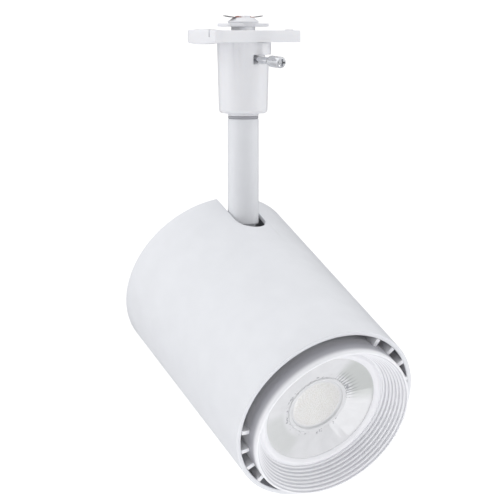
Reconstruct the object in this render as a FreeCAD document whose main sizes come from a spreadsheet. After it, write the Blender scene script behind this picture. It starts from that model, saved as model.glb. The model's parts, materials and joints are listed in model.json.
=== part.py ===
import FreeCAD, Part
import math
import operator
import os
import Sketcher

# Track spotlight: a twist-lock track adapter, a turning stem and a tilting tubular head.
# Row frame in millimetres: +Z up, the origin where the stem's axis meets the plate's top face,
# X along the track, and the head leans towards -Y.
# Head pieces are drawn in a frame of their own: z runs along the tube from its rear rim to its
# front, y points to the slotted side, and one placement tips them all by aim_angle.

doc = FreeCAD.newDocument("track_spotlight")

# ---------------------------------------------------------------- driving dimensions
DIMENSIONS = {
    # adapter plate and its end grip
    "plate_length": 47.0, "plate_width": 28.0, "plate_thick": 5.6, "plate_corner": 1.0,
    "grip_depth": 3.0, "grip_rise": 0.5, "grip_bulge": 0.6, "grip_corner": 4.5,
    "notch_offset": 9.0, "notch_width": 1.8, "notch_depth": 3.4,
    "pip_length": 3.2, "pip_width": 3.0, "pip_inset": 4.1,
    "collar_outer": 10.5, "collar_inner": 9.2, "collar_drop": 3.4,
    # adapter body
    "body_top_radius": 12.3, "body_low_radius": 11.4, "body_bottom": 38.9, "body_fillet": 1.8,
    "drum_room": 10.6, "drum_room_floor": 24.0, "nut_room": 9.0, "floor_top": 35.4,
    "guard_radius": 13.1, "guard_drop": 11.4, "guard_sweep": 104.0, "window_drop": 15.8,
    "window_sweep": 113.0, "window_start": -98.0,
    # turning contact head
    "neck_radius": 5.65, "neck_gap": 0.06, "drum_radius": 10.3, "drum_top": 9.6, "drum_bottom": 22.0,
    "lead_bore": 3.2, "wing_base": 2.1, "wing_edge": 1.2, "wing_length": 22.4, "wing_width": 12.0,
    "wing_crown": 8.0, "wing_ramp": 0.3, "spigot_radius": 4.0,
    "carrier_radius": 7.5, "carrier_base": 3.6, "carrier_rim": 0.6, "carrier_shoulder": 6.5,
    "carrier_dome": 4.5, "leaf_seat": 6.0, "boss_radius": 1.9, "boss_top": 6.9,
    "leaf_thick": 0.4, "leaf_width": 4.0, "leaf_inner": 2.1,
    "leaf_bend": 5.2, "leaf_tip": 10.4, "leaf_lift": 0.6, "rivet_radius": 0.55, "rivet_place": 3.2,
    "lever_height": 13.4, "lever_droop": 4.0, "lever_turn": 4.0, "lever_radius": 1.5,
    "lever_inner": 5.0, "knob_start": 21.8, "knob_end": 31.2, "knob_radius": 2.65, "knob_round": 0.7,
    "recess_width": 0.9, "recess_reach": 1.7, "recess_depth": 1.3,
    "detent_radius": 1.2, "detent_centre": 9.3, "detent_height": 17.5,
    # swivel between adapter and stem
    "pan_collar_thick": 1.2, "pan_washer_thick": 1.35, "pan_washer_radius": 7.2, "face_gap": 0.05,
    "nipple_radius": 4.95, "nipple_bore": 3.2, "nipple_gap": 0.05, "nipple_top": 29.5,
    "stop_washer_radius": 7.0, "stop_tab_radius": 8.7, "stop_tab_width": 1.0,
    "stop_pin_radius": 0.8, "stop_pin_circle": 8.05, "stop_washer_thick": 1.0,
    "nut_flats": 14.0, "nut_thick": 4.0,
    # stem
    "stem_radius": 7.3, "stem_bore": 6.1, "plug_radius": 6.08, "plug_length": 9.0,
    "tongue_thick": 7.0, "tongue_round": 6.5, "knuckle_plug": 13.0, "stem_end_gap": 8.6,
    "grub_radius": 1.5,
    # hinge
    "aim_angle": 27.3, "hinge_drop": 99.7, "hinge_offset": 31.8, "hinge_from_rear": 19.3,
    "bolt_radius": 2.5, "bolt_gap": 0.04, "ear_thick": 2.0, "washer_thick": 0.8,
    "foot_front": 38.0, "foot_half": 14.5, "foot_low": 20.0, "foot_high": 37.0,
    "foot_screw_x": 10.3, "foot_screw_y": 28.5,
    # head housing
    "tube_radius": 45.0, "tube_wall": 2.2, "tube_length": 116.5, "rim_chamfer": 0.6,
    "slot_half": 7.7, "slot_centre": 19.4, "cover_inset": 2.0, "cover_thick": 2.5,
    "cover_radius": 42.4, "notch_floor": 23.5, "notch_half": 8.2,
    # heat sink
    "sink_back": 38.2, "sink_plate": 5.0, "sink_radius": 42.3, "hub_radius": 15.0,
    "seat_back": 88.0, "seat_front": 94.0, "seat_radius": 35.0, "fin_thick": 1.8, "fin_count": 24,
    "lead_hole_radius": 1.6, "lead_hole_drop": 18.5,
    # light engine
    "pad_thick": 0.3, "board_radius": 15.0, "board_thick": 1.6, "emitter_radius": 9.0,
    "emitter_thick": 0.8, "holder_inner": 10.2, "holder_outer": 19.0, "holder_thick": 3.4,
    "carrier_flange": 20.5, "skirt_radius": 37.4, "skirt_wall": 1.5, "skirt_front": 109.0,
    "lens_radius": 29.4, "lens_front": 111.8, "lens_flange": 2.0, "lens_throat": 13.6,
    "lens_rear": 99.7, "lens_cavity": 9.5, "cavity_roof": 103.8, "cavity_edge": 102.3,
    # baffle in front of the lens
    "baffle_radius": 39.2, "baffle_wall": 1.5, "baffle_rear": 105.0, "lip_front": 123.8,
    "lip_inner": 38.0, "lip_round": 0.5, "cone_inner": 31.8, "cone_floor": 112.1,
    "window_radius": 27.6, "annulus_rise": 1.2, "baffle_steps": 7, "vent_rib_thick": 1.8,
    "vent_rib_front": 115.6, "vent_rib_radius": 42.7, "vent_rib_pitch": 15.0, "vent_rib_count": 4,
    "rib_row_upper": 22.5, "rib_row_lower": 187.5,
    "clip_thick": 0.24,
    # driver
    "case_half": 29.0, "case_low": 27.0, "case_high": 16.0, "case_rear": 7.2, "case_front": 38.15,
    "case_wall": 1.5, "driver_board_low": 23.0, "driver_board_thick": 1.6,
}

sheet = doc.addObject("Spreadsheet::Sheet", "Sizes")
for row, (alias, number) in enumerate(DIMENSIONS.items(), start=1):
    sheet.set(f"A{row}", alias.replace("_", " "))
    sheet.set(f"B{row}", str(number))
    sheet.setAlias(f"B{row}", alias)
doc.recompute()

OPERATIONS = {"+": operator.add, "-": operator.sub, "*": operator.mul, "/": operator.truediv}


class Size:
    """A number kept together with the sheet expression that gives it."""

    def __init__(self, value, text):
        self.value = float(value)
        self.text = text

    def __add__(self, other):
        return combined(self, "+", other)

    def __radd__(self, other):
        return combined(other, "+", self)

    def __sub__(self, other):
        return combined(self, "-", other)

    def __rsub__(self, other):
        return combined(other, "-", self)

    def __mul__(self, other):
        return combined(self, "*", other)

    def __rmul__(self, other):
        return combined(other, "*", self)

    def __truediv__(self, other):
        return combined(self, "/", other)

    def __neg__(self):
        return combined(0, "-", self)


def as_size(number):
    return number if isinstance(number, Size) else Size(number, repr(float(number)))


def combined(left, sign, right):
    left, right = as_size(left), as_size(right)
    return Size(OPERATIONS[sign](left.value, right.value), f"({left.text} {sign} {right.text})")


def sine(angle):
    return Size(math.sin(math.radians(angle.value)), f"sin({angle.text} * 1 deg)")


def cosine(angle):
    return Size(math.cos(math.radians(angle.value)), f"cos({angle.text} * 1 deg)")


class Sheet:
    """Reads a driving dimension by its alias."""

    def __getattr__(self, alias):
        return Size(sheet.get(alias), f"Sizes.{alias}")


D = Sheet()

# ---------------------------------------------------------------- drawing helpers
pieces = []
X_AXIS, Y_AXIS, Z_AXIS = (FreeCAD.Vector(*v) for v in ((1, 0, 0), (0, 1, 0), (0, 0, 1)))
UPRIGHT = FreeCAD.Rotation()
TURNS = {
    "z": UPRIGHT,
    "x": FreeCAD.Rotation(Y_AXIS, 90),
    "y": FreeCAD.Rotation(X_AXIS, -90),
}


def bind(item, name, size):
    """Sets a property and ties it to the sheet."""
    size = as_size(size)
    setattr(item, name, size.value)
    item.setExpression(name, size.text)


def place(item, at=(0, 0, 0), rotation=UPRIGHT):
    """Puts an object at a point given by sizes."""
    at = [as_size(size) for size in at]
    item.Placement = FreeCAD.Placement(FreeCAD.Vector(*[size.value for size in at]), rotation)
    for letter, size in zip("xyz", at):
        item.setExpression(f"Placement.Base.{letter}", size.text)
    return item


def keep(item, label, in_head=False):
    """Names a finished sub-part and, for a head piece, tips it into the row frame."""
    if in_head and not item.Placement.isIdentity():
        item = group(f"{label}_as_placed", item)
    item.Label = label
    if in_head:
        back = D.hinge_offset * sine(D.aim_angle) + D.hinge_from_rear * cosine(D.aim_angle)
        up = D.hinge_from_rear * sine(D.aim_angle) - D.hinge_offset * cosine(D.aim_angle)
        tip = D.aim_angle + 90
        place(item, (0, back, up - D.hinge_drop), FreeCAD.Rotation(X_AXIS, tip.value))
        item.setExpression("Placement.Rotation.Angle", tip.text)
    pieces.append(item)
    return item


def plane_of(body, role):
    return next(feature for feature in body.Origin.OriginFeatures if feature.Role == role)


def sketch_in(body, role, name, offset=None):
    """An empty sketch on one of the body's own origin planes."""
    sketch = body.newObject("Sketcher::SketchObject", name)
    sketch.AttachmentSupport = [(plane_of(body, role), "")]
    sketch.MapMode = "FlatFace"
    if offset is not None:
        offset = as_size(offset)
        sketch.AttachmentOffset = FreeCAD.Placement(FreeCAD.Vector(0, 0, offset.value), UPRIGHT)
        sketch.setExpression("AttachmentOffset.Base.z", offset.text)
    return sketch


def outline(sketch, corners):
    """A closed outline whose every corner is tied to the sheet."""
    corners = [(as_size(x), as_size(y)) for x, y in corners]
    first = sketch.GeometryCount
    count = len(corners)
    for index, (x, y) in enumerate(corners):
        next_x, next_y = corners[(index + 1) % count]
        start = FreeCAD.Vector(x.value, y.value, 0)
        end = FreeCAD.Vector(next_x.value, next_y.value, 0)
        sketch.addGeometry(Part.LineSegment(start, end), False)
    for index in range(count):
        following = first + (index + 1) % count
        sketch.addConstraint(Sketcher.Constraint("Coincident", first + index, 2, following, 1))
    for index, corner in enumerate(corners):
        for kind, axis, size in zip(("DistanceX", "DistanceY"), (-2, -1), corner):
            if abs(size.value) < 1e-9:
                sketch.addConstraint(Sketcher.Constraint("PointOnObject", first + index, 1, axis))
                continue
            number = sketch.addConstraint(
                Sketcher.Constraint(kind, -1, 1, first + index, 1, size.value)
            )
            sketch.setExpression(f"Constraints[{number}]", size.text)


def circle_in(sketch, x, y, radius):
    """A circle whose centre and radius are tied to the sheet."""
    x, y, radius = as_size(x), as_size(y), as_size(radius)
    centre = FreeCAD.Vector(x.value, y.value, 0)
    number = sketch.addGeometry(Part.Circle(centre, Z_AXIS, radius.value), False)
    ring = sketch.addConstraint(Sketcher.Constraint("Radius", number, radius.value))
    sketch.setExpression(f"Constraints[{ring}]", radius.text)
    for kind, axis, size in (("DistanceX", -2, x), ("DistanceY", -1, y)):
        if abs(size.value) < 1e-9:
            sketch.addConstraint(Sketcher.Constraint("PointOnObject", number, 3, axis))
            continue
        tie = sketch.addConstraint(Sketcher.Constraint(kind, -1, 1, number, 3, size.value))
        sketch.setExpression(f"Constraints[{tie}]", size.text)


def new_body(name):
    return doc.addObject("PartDesign::Body", name)


def turn(body, corners, name="turned"):
    """Revolves an outline, given as radius and height, about the body's Z axis."""
    sketch = sketch_in(body, "XZ_Plane", f"{name}_outline")
    outline(sketch, corners)
    feature = body.newObject("PartDesign::Revolution", name)
    feature.Profile = sketch
    feature.ReferenceAxis = (sketch, ["V_Axis"])
    feature.Angle = 360
    return feature


def turned(name, corners):
    body = new_body(name)
    turn(body, corners)
    return body


def ring_corners(inner, outer, low, high):
    return [(inner, low), (outer, low), (outer, high), (inner, high)]


def ring(name, inner, outer, low, high):
    return turned(name, ring_corners(inner, outer, low, high))


def pad(body, role, draw, length, name, offset=None, midplane=False, backwards=False):
    """Pads what draw() puts in a fresh sketch."""
    sketch = sketch_in(body, role, f"{name}_outline", offset)
    draw(sketch)
    feature = body.newObject("PartDesign::Pad", name)
    feature.Profile = sketch
    feature.Midplane = midplane
    feature.Reversed = backwards
    bind(feature, "Length", length)
    return feature


def pocket(body, role, draw, length, name, offset=None, midplane=False, backwards=False):
    """Cuts what draw() puts in a fresh sketch, and checks that it took something away."""
    doc.recompute()
    before = body.Shape.Volume
    sketch = sketch_in(body, role, f"{name}_outline", offset)
    draw(sketch)
    feature = body.newObject("PartDesign::Pocket", name)
    feature.Profile = sketch
    feature.Midplane = midplane
    feature.Reversed = backwards
    bind(feature, "Length", length)
    doc.recompute()
    if body.Shape.Volume >= before:
        raise RuntimeError(f"{body.Name}: the pocket {name} cuts nothing")
    return feature


def polar(body, feature, count, name, sweep=360):
    """Repeats a feature round the body's Z axis, over the whole turn or part of it."""
    pattern = body.newObject("PartDesign::PolarPattern", name)
    pattern.Originals = [feature]
    pattern.Axis = (plane_of(body, "Z_Axis"), [""])
    bind(pattern, "Angle", sweep)
    pattern.Occurrences = int(count.value)
    pattern.setExpression("Occurrences", count.text)
    body.Tip = pattern
    return pattern


def edge_names(shape, wanted):
    return [f"Edge{i}" for i, edge in enumerate(shape.Edges, start=1) if wanted(edge)]


def round_edges(body, wanted, size, kind="Fillet"):
    """Fillets or chamfers the edges of the body's tip that wanted() picks."""
    doc.recompute()
    base = body.Tip
    names = edge_names(base.Shape, wanted)
    if not names:
        raise RuntimeError(f"{body.Name}: no edge to treat")
    feature = body.newObject(f"PartDesign::{kind}", kind.lower())
    feature.Base = (base, names)
    bind(feature, "Radius" if kind == "Fillet" else "Size", size)
    body.Tip = feature
    return feature


def is_ring(edge, radius, height):
    """True for a full circle about Z of that radius at that height."""
    curve = edge.Curve
    if not isinstance(curve, Part.Circle):
        return False
    return abs(curve.Radius - radius.value) < 1e-4 and abs(curve.Center.z - height.value) < 1e-4


def cylinder(name, radius, height, at=(0, 0, 0), along="z", angle=360, start=0):
    item = doc.addObject("Part::Cylinder", name)
    bind(item, "Radius", radius)
    bind(item, "Height", height)
    bind(item, "Angle", angle)
    turn_by = TURNS[along]
    if start:
        turn_by = FreeCAD.Rotation(Z_AXIS, as_size(start).value)
    return place(item, at, turn_by)


def cone(name, low_radius, high_radius, height, at=(0, 0, 0), along="z"):
    item = doc.addObject("Part::Cone", name)
    bind(item, "Radius1", low_radius)
    bind(item, "Radius2", high_radius)
    bind(item, "Height", height)
    return place(item, at, TURNS[along])


def block(name, low, high):
    """A box between two corners given as sizes."""
    low = [as_size(size) for size in low]
    high = [as_size(size) for size in high]
    item = doc.addObject("Part::Box", name)
    for prop, start, end in zip(("Length", "Width", "Height"), low, high):
        bind(item, prop, end - start)
    return place(item, low)


def hexagon(name, flats, height, at=(0, 0, 0), along="z"):
    item = doc.addObject("Part::Prism", name)
    item.Polygon = 6
    bind(item, "Circumradius", flats / math.sqrt(3))
    bind(item, "Height", height)
    return place(item, at, TURNS[along])


def ball(name, radius, at):
    item = doc.addObject("Part::Sphere", name)
    bind(item, "Radius", radius)
    return place(item, at)


def cut(name, base, *tools):
    for index, tool in enumerate(tools):
        item = doc.addObject("Part::Cut", name if index == 0 else f"{name}_{index}")
        item.Base = base
        item.Tool = tool
        base = item
    return base


def fuse(name, *items):
    item = doc.addObject("Part::MultiFuse", name)
    item.Shapes = list(items)
    return item


def group(name, *items):
    item = doc.addObject("Part::Compound", name)
    item.Links = list(items)
    return item


def pan_screw(name, at, along, shank, length, head, head_thick):
    """A round-headed screw whose shank starts at a point and runs along an axis."""
    at = [as_size(size) for size in at]
    index = "xyz".index(along)
    under = list(at)
    under[index] = under[index] - head_thick
    stem = cylinder(f"{name}_shank", shank, length, at, along)
    cap = cylinder(f"{name}_head", head, head_thick, under, along)
    drive = cylinder(f"{name}_drive", head * 0.45, head_thick * 0.5, under, along)
    return cut(name, fuse(f"{name}_blank", stem, cap), drive)


def wire_path(points, bend):
    """A route of straight runs joined by tangent arcs of one radius."""
    vectors = [FreeCAD.Vector(*[as_size(size).value for size in point]) for point in points]
    edges = []
    start = vectors[0]
    for before, corner, after in zip(vectors, vectors[1:], vectors[2:]):
        back = (before - corner).normalize()
        ahead = (after - corner).normalize()
        half = (math.pi - back.getAngle(ahead)) / 2
        reach = bend * math.tan(half)
        enter, leave = corner + back * reach, corner + ahead * reach
        bisector = (back + ahead).normalize()
        centre = corner + bisector * (bend / math.cos(half))
        middle = centre - bisector * bend
        edges.append(Part.LineSegment(start, enter).toShape())
        edges.append(Part.Arc(enter, middle, leave).toShape())
        start = leave
    edges.append(Part.LineSegment(start, vectors[-1]).toShape())
    return Part.Wire(edges)


def wire_tube(points, radius, bend):
    """A round wire swept along such a route."""
    path = wire_path(points, bend)
    start = path.Edges[0]
    profile = Part.Wire(Part.Circle(start.valueAt(start.FirstParameter),
                                    start.tangentAt(start.FirstParameter), radius).toShape())
    return path.makePipeShell([profile], True, False)


def wires(label, routes, radius, bend, in_head=False):
    """A group of insulated wires, each along its own route."""
    item = doc.addObject("Part::Feature", label)
    item.Shape = Part.makeCompound([wire_tube(route, radius, bend) for route in routes])
    return keep(item, label, in_head)


# ---------------------------------------------------------------- track adapter
def adapter_plate():
    """Plate under the track, with a notched end grip, a pip and a locating collar below."""
    body = new_body("plate_body")
    half_x, half_y = D.plate_length / 2, D.plate_width / 2
    grip_x = D.grip_depth - half_x
    end = -half_x - D.grip_bulge
    corner_cut = D.grip_corner

    def slab(sketch):
        outline(sketch, [(grip_x, -half_y), (half_x, -half_y), (half_x, half_y), (grip_x, half_y)])

    def grip(sketch):
        outline(sketch, [
            (grip_x, -half_y), (grip_x, half_y), (corner_cut * 0.55 - half_x, half_y),
            (corner_cut * 0.12 - half_x, half_y - corner_cut * 0.45), (end, half_y - corner_cut * 1.2),
            (end, corner_cut - half_y), (-half_x, -half_y),
        ])

    def notch(sketch):
        middle = -D.notch_offset
        outline(sketch, [
            (middle - D.notch_width / 2, D.grip_rise + 1), (middle, D.grip_rise - D.notch_depth),
            (middle + D.notch_width / 2, D.grip_rise + 1),
        ])

    def pip(sketch):
        start = half_x - D.pip_inset - D.pip_length
        outline(sketch, [(start, -half_y), (start + D.pip_length, -half_y),
                         (start + D.pip_length, D.pip_width - half_y), (start, D.pip_width - half_y)])

    pad(body, "XY_Plane", slab, D.plate_thick, "slab", backwards=True)
    pad(body, "XY_Plane", grip, D.plate_thick + D.grip_rise * 2, "grip", offset=D.grip_rise,
        backwards=True)
    pad(body, "XY_Plane", pip, D.grip_rise, "pip")
    pad(body, "XY_Plane", lambda s: circle_in(s, 0, 0, D.collar_outer),
        D.collar_drop, "collar", offset=-D.plate_thick, backwards=True)
    pocket(body, "XY_Plane", lambda s: circle_in(s, 0, 0, D.neck_radius + D.neck_gap),
           D.plate_thick, "neck_hole")
    pocket(body, "XY_Plane", lambda s: circle_in(s, 0, 0, D.collar_inner),
           D.collar_drop, "collar_bore", offset=-D.plate_thick)
    pocket(body, "YZ_Plane", notch, D.grip_depth + D.grip_bulge, "notch", offset=grip_x + 0.8)
    plate_end = half_x.value - 1e-3

    def corner(edge):
        box = edge.BoundBox
        upright = box.ZLength > D.plate_thick.value - 1 and box.XLength < 1e-6 and box.YLength < 1e-6
        return upright and box.XMin > plate_end

    round_edges(body, corner, D.plate_corner)
    keep(body, "adapter_plate")


def adapter_body():
    """Tapered shell that holds the drum, with a guard over the lever's window."""
    low = -D.body_bottom
    shell = turned("body_shell", [
        (D.drum_room, -D.plate_thick), (D.body_top_radius, -D.plate_thick),
        (D.body_low_radius, low), (D.nipple_radius + D.nipple_gap, low),
        (D.nipple_radius + D.nipple_gap, -D.floor_top), (D.nut_room, -D.floor_top),
        (D.nut_room, -D.drum_room_floor), (D.drum_room, -D.drum_room_floor),
    ])
    round_edges(shell, lambda edge: is_ring(edge, D.body_low_radius, low), D.body_fillet)
    start = D.window_start
    guard_drop = D.guard_drop - D.plate_thick
    guard_blank = cylinder("guard_blank", D.guard_radius, guard_drop,
                           (0, 0, -D.guard_drop), angle=D.guard_sweep, start=start + 8)
    room = cylinder("guard_room", D.drum_room, guard_drop, (0, 0, -D.guard_drop))
    guard = cut("guard", guard_blank, room)
    window = cylinder("window_tool", D.guard_radius + 1, D.window_drop - D.guard_drop,
                      (0, 0, -D.window_drop), angle=D.window_sweep, start=start)
    keep(cut("body_cut", fuse("body_blank", shell, guard), window), "adapter_body")


def adapter_inside():
    """Spring washer under the drum, insulating disc, stop pin, and the swivel's fixed rings."""
    floor = -D.drum_room_floor
    keep(ring("spring_body", D.nut_room + 0.3, D.drum_radius, floor + 0.1, floor + 1.8),
         "drum_spring_washer")
    keep(ring("disc_body", D.lead_bore, D.nut_room - 0.1, floor - 2.2, floor - 1.2),
         "insulating_disc")
    keep(cylinder("pin_body", D.stop_pin_radius, D.stop_washer_thick,
                  (D.stop_pin_circle, 0, -D.floor_top)), "pan_stop_pin")
    low = -D.body_bottom
    bore = D.nipple_radius + D.nipple_gap
    collar_low = low - D.pan_collar_thick
    keep(ring("collar_body", bore, D.stem_radius, collar_low, low), "pan_collar")
    keep(ring("washer_body", bore, D.pan_washer_radius, collar_low - D.pan_washer_thick, collar_low),
         "pan_friction_washer")


def contact_drum():
    """Drum with a neck through the plate, bored for the leads, the lever and the detent."""
    blank = turned("drum_turned", [
        (D.lead_bore, -D.drum_bottom), (D.drum_radius, -D.drum_bottom),
        (D.drum_radius, -D.drum_top), (D.neck_radius, -D.drum_top), (D.neck_radius, D.wing_base),
        (D.spigot_radius, D.wing_base), (D.spigot_radius, D.carrier_base),
        (D.lead_bore, D.carrier_base),
    ])
    lever_hole = lever_cylinder("lever_hole", D.lever_radius + 0.02, D.lever_inner - 0.4, D.drum_radius + 2)
    detent_hole = cylinder("detent_hole", D.detent_radius + 0.05, D.drum_radius,
                           (-D.drum_radius * 1.5, 0, -D.detent_height), "x")
    keep(cut("drum_cut", blank, lever_hole, detent_hole), "contact_drum")


def lever_cylinder(name, radius, start, end):
    """A cylinder along the lever's line, between two distances from the stem's axis."""
    item = doc.addObject("Part::Cylinder", name)
    bind(item, "Radius", radius)
    bind(item, "Height", end - start)
    return on_lever(item, start)


def on_lever(item, distance):
    """Puts an object at a distance out along the lever, its Z axis along the lever."""
    down = FreeCAD.Rotation(Y_AXIS, 90 + D.lever_droop.value)
    swing = FreeCAD.Rotation(Z_AXIS, D.lever_turn.value - 90)
    flat = distance * cosine(D.lever_droop)
    fall = distance * sine(D.lever_droop) - D.drum_radius * sine(D.lever_droop)
    return place(item, (flat * sine(D.lever_turn), -flat * cosine(D.lever_turn),
                        -D.lever_height - fall), swing.multiply(down))


def lever():
    """Chrome pin screwed into the drum, and its round knob with a cross recess."""
    pin = lever_cylinder("lever_shaft", D.lever_radius, D.lever_inner, D.knob_start + 4)
    keep(pin, "lever_pin")
    length = D.knob_end - D.knob_start
    knob = turned("knob_turned", [
        (D.lever_radius + 0.02, 0), (D.knob_radius - D.knob_round, 0), (D.knob_radius, D.knob_round),
        (D.knob_radius, length - D.knob_round), (D.knob_radius - D.knob_round, length),
        (0, length), (0, 4.1), (D.lever_radius + 0.02, 4.1),
    ])
    half, reach = D.recess_width / 2, D.recess_reach
    floor = length - D.recess_depth
    slots = [
        block("recess_a", (-reach, -half, floor), (reach, half, length + 1)),
        block("recess_b", (-half, -reach, floor), (half, reach, length + 1)),
    ]
    knob = cut("knob_cut", knob, *slots)
    on_lever(knob, D.knob_start)
    keep(knob, "lever_knob")


def detent():
    """Ball and spring that click the drum into its two end positions."""
    centre = -D.detent_centre
    keep(ball("detent_sphere", D.detent_radius, (centre, 0, -D.detent_height)), "detent_ball")
    coil = ring("detent_coil", D.detent_radius * 0.5, D.detent_radius * 0.9, 0, 2.8)
    place(coil, (centre + D.detent_radius + 0.05, 0, -D.detent_height), TURNS["x"])
    keep(coil, "detent_spring")


def locking_wings():
    """Wings that turn above the track's lips, ramped towards their ends."""
    body = new_body("wings_body")
    half_x = D.wing_length / 2
    base, edge = D.wing_base, D.wing_base + D.wing_edge
    top = edge + D.wing_ramp

    def side(sketch):
        outline(sketch, [(-half_x, base), (half_x, base), (half_x, edge), (D.wing_crown, top),
                         (-D.wing_crown, top), (-half_x, edge)])

    pad(body, "XZ_Plane", side, D.wing_width, "wing_block", midplane=True)
    pocket(body, "XY_Plane", lambda s: circle_in(s, 0, 0, D.spigot_radius + 0.05),
           D.wing_base + D.wing_edge + D.wing_ramp, "spigot_hole", backwards=True)
    keep(body, "locking_wings")


def contact_carrier():
    """Insulating cap that carries the two contact leaves."""
    low = D.carrier_base
    blank = turned("carrier_turned", [
        (0, low), (D.carrier_radius, low), (D.carrier_radius, low + D.carrier_rim),
        (D.carrier_shoulder, low + D.carrier_rim * 2), (D.carrier_dome, D.leaf_seat),
        (D.boss_radius, D.leaf_seat), (D.boss_radius, D.boss_top), (0, D.boss_top),
    ])
    holes = [cylinder(f"rivet_hole_{side}", D.rivet_radius + 0.02, D.boss_top,
                      (side * D.rivet_place, 0, low - 0.1)) for side in (-1, 1)]
    keep(cut("carrier_cut", blank, *holes), "contact_carrier")


def contact_leaf(label, side):
    """A sprung strip on the cap, its tip bent up towards the track's conductor."""
    body = new_body(f"{label}_body")
    low, thick = D.leaf_seat, D.leaf_thick
    inner, bend, tip = D.leaf_inner, D.leaf_bend, D.leaf_tip

    def side_view(sketch):
        outline(sketch, [
            (side * inner, low), (side * bend, low), (side * tip, low + D.leaf_lift),
            (side * tip, low + D.leaf_lift + thick), (side * bend, low + thick),
            (side * inner, low + thick),
        ])

    pad(body, "XZ_Plane", side_view, D.leaf_width, "strip", midplane=True)
    hole = cylinder(f"{label}_hole", D.rivet_radius + 0.02, 3, (side * D.rivet_place, 0, low - 1))
    keep(cut(f"{label}_cut", body, hole), label)


def contact_fixings():
    """Rivets that hold the leaves, and the leads that drop through the drum."""
    rivets = []
    low, top = D.carrier_base, D.leaf_seat + D.leaf_thick
    for side in (-1, 1):
        at_x = side * D.rivet_place
        shank = cylinder(f"rivet_shank_{side}", D.rivet_radius, top - low, (at_x, 0, low))
        head = cylinder(f"rivet_head_{side}", D.rivet_radius * 1.8, 0.3, (at_x, 0, top))
        rivets.append(fuse(f"rivet_{side}", shank, head))
    keep(group("rivets", *rivets), "contact_rivets")
    offset = 1.5
    routes = [[(side * offset, 0, low - 0.1), (side * offset, 0, -D.drum_bottom)] for side in (-1, 1)]
    wires("contact_leads", routes, 0.75, 1)


# ---------------------------------------------------------------- stem
def stem_top_level():
    """Height of the stem tube's upper end."""
    return -(D.body_bottom + D.pan_collar_thick + D.pan_washer_thick + D.face_gap)


def nipple_parts():
    """Hollow threaded nipple, its nut and the tabbed washer that stops the pan."""
    top = stem_top_level()
    keep(ring("nipple_body", D.nipple_bore, D.nipple_radius, top - D.plug_length + 1, -D.nipple_top),
         "stem_nipple")
    keep(ring("plug_body", D.nipple_radius + 0.02, D.plug_radius, top - D.plug_length, top - 0.4),
         "nipple_plug")
    washer_low = -D.floor_top + D.face_gap
    disc = cylinder("stop_disc", D.stop_washer_radius, D.stop_washer_thick, (0, 0, washer_low))
    tab = block("stop_tab", (-D.stop_tab_radius, -D.stop_tab_width / 2, washer_low),
                (-D.stop_washer_radius + 1, D.stop_tab_width / 2, washer_low + D.stop_washer_thick))
    bore = cylinder("stop_bore", D.nipple_radius + 0.02, 3, (0, 0, washer_low - 1))
    keep(cut("stop_washer_cut", fuse("stop_blank", disc, tab), bore), "pan_stop_washer")
    nut_low = washer_low + D.stop_washer_thick
    nut = hexagon("nut_hex", D.nut_flats, D.nut_thick, (0, 0, nut_low))
    nut_bore = cylinder("nut_bore", D.nipple_radius + 0.02, D.nut_thick + 2, (0, 0, nut_low - 1))
    keep(cut("nipple_nut_cut", nut, nut_bore), "nipple_nut")


def stem_tube():
    """Straight steel tube between the swivel and the hinge."""
    top = stem_top_level()
    low = -D.hinge_drop + D.stem_end_gap
    tube = ring("tube_body", D.stem_bore, D.stem_radius, low, top)
    round_edges(tube, lambda e: is_ring(e, D.stem_radius, low) or is_ring(e, D.stem_radius, top),
                0.3, "Chamfer")
    hole = cylinder("grub_hole", D.grub_radius + 0.02, D.stem_radius * 2,
                    (0, 0, low + D.knuckle_plug / 2), "y")
    keep(cut("stem_cut", tube, hole), "stem_tube")


def stem_knuckle():
    """Plug in the tube's foot with a flat tongue for the hinge bolt."""
    low = -D.hinge_drop + D.stem_end_gap
    plug = ring("knuckle_plug_body", 3.0, D.plug_radius, low - 0.5, low + D.knuckle_plug)
    half = D.tongue_thick / 2
    centre = -D.hinge_drop
    round_end = cylinder("tongue_round_end", D.tongue_round, D.tongue_thick, (-half, 0, centre), "x")
    neck = block("tongue_neck", (-half, -D.plug_radius + 0.3, centre),
                 (half, D.plug_radius - 0.3, low - 0.1))
    wire_exit = cylinder("tongue_wire_exit", 2.0, D.stem_end_gap, (0, 0, centre + 4.5))
    bolt_hole = cylinder("tongue_bolt_hole", D.bolt_radius + D.bolt_gap, D.tongue_thick + 4,
                         (-half - 2, 0, centre), "x")
    grub = cylinder("grub_seat", D.grub_radius + 0.02, D.plug_radius + 2,
                    (0, 0, low + D.knuckle_plug / 2), "y")
    blank = fuse("knuckle_blank", plug, round_end, neck)
    keep(cut("knuckle_cut", blank, bolt_hole, wire_exit, grub), "stem_knuckle")
    keep(cylinder("grub_body", D.grub_radius, D.stem_radius - 3.6,
                  (0, 3.3, low + D.knuckle_plug / 2), "y"), "knuckle_grub_screw")


def supply_leads():
    """The two supply wires that run down through nipple, tube and knuckle."""
    offset = 1.3
    low = -D.hinge_drop + D.stem_end_gap
    routes = [[(side * offset, 0, -D.drum_room_floor - 0.6), (side * offset, 0, low + 2)]
              for side in (-1, 1)]
    wires("supply_leads", routes, 0.9, 1)


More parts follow.
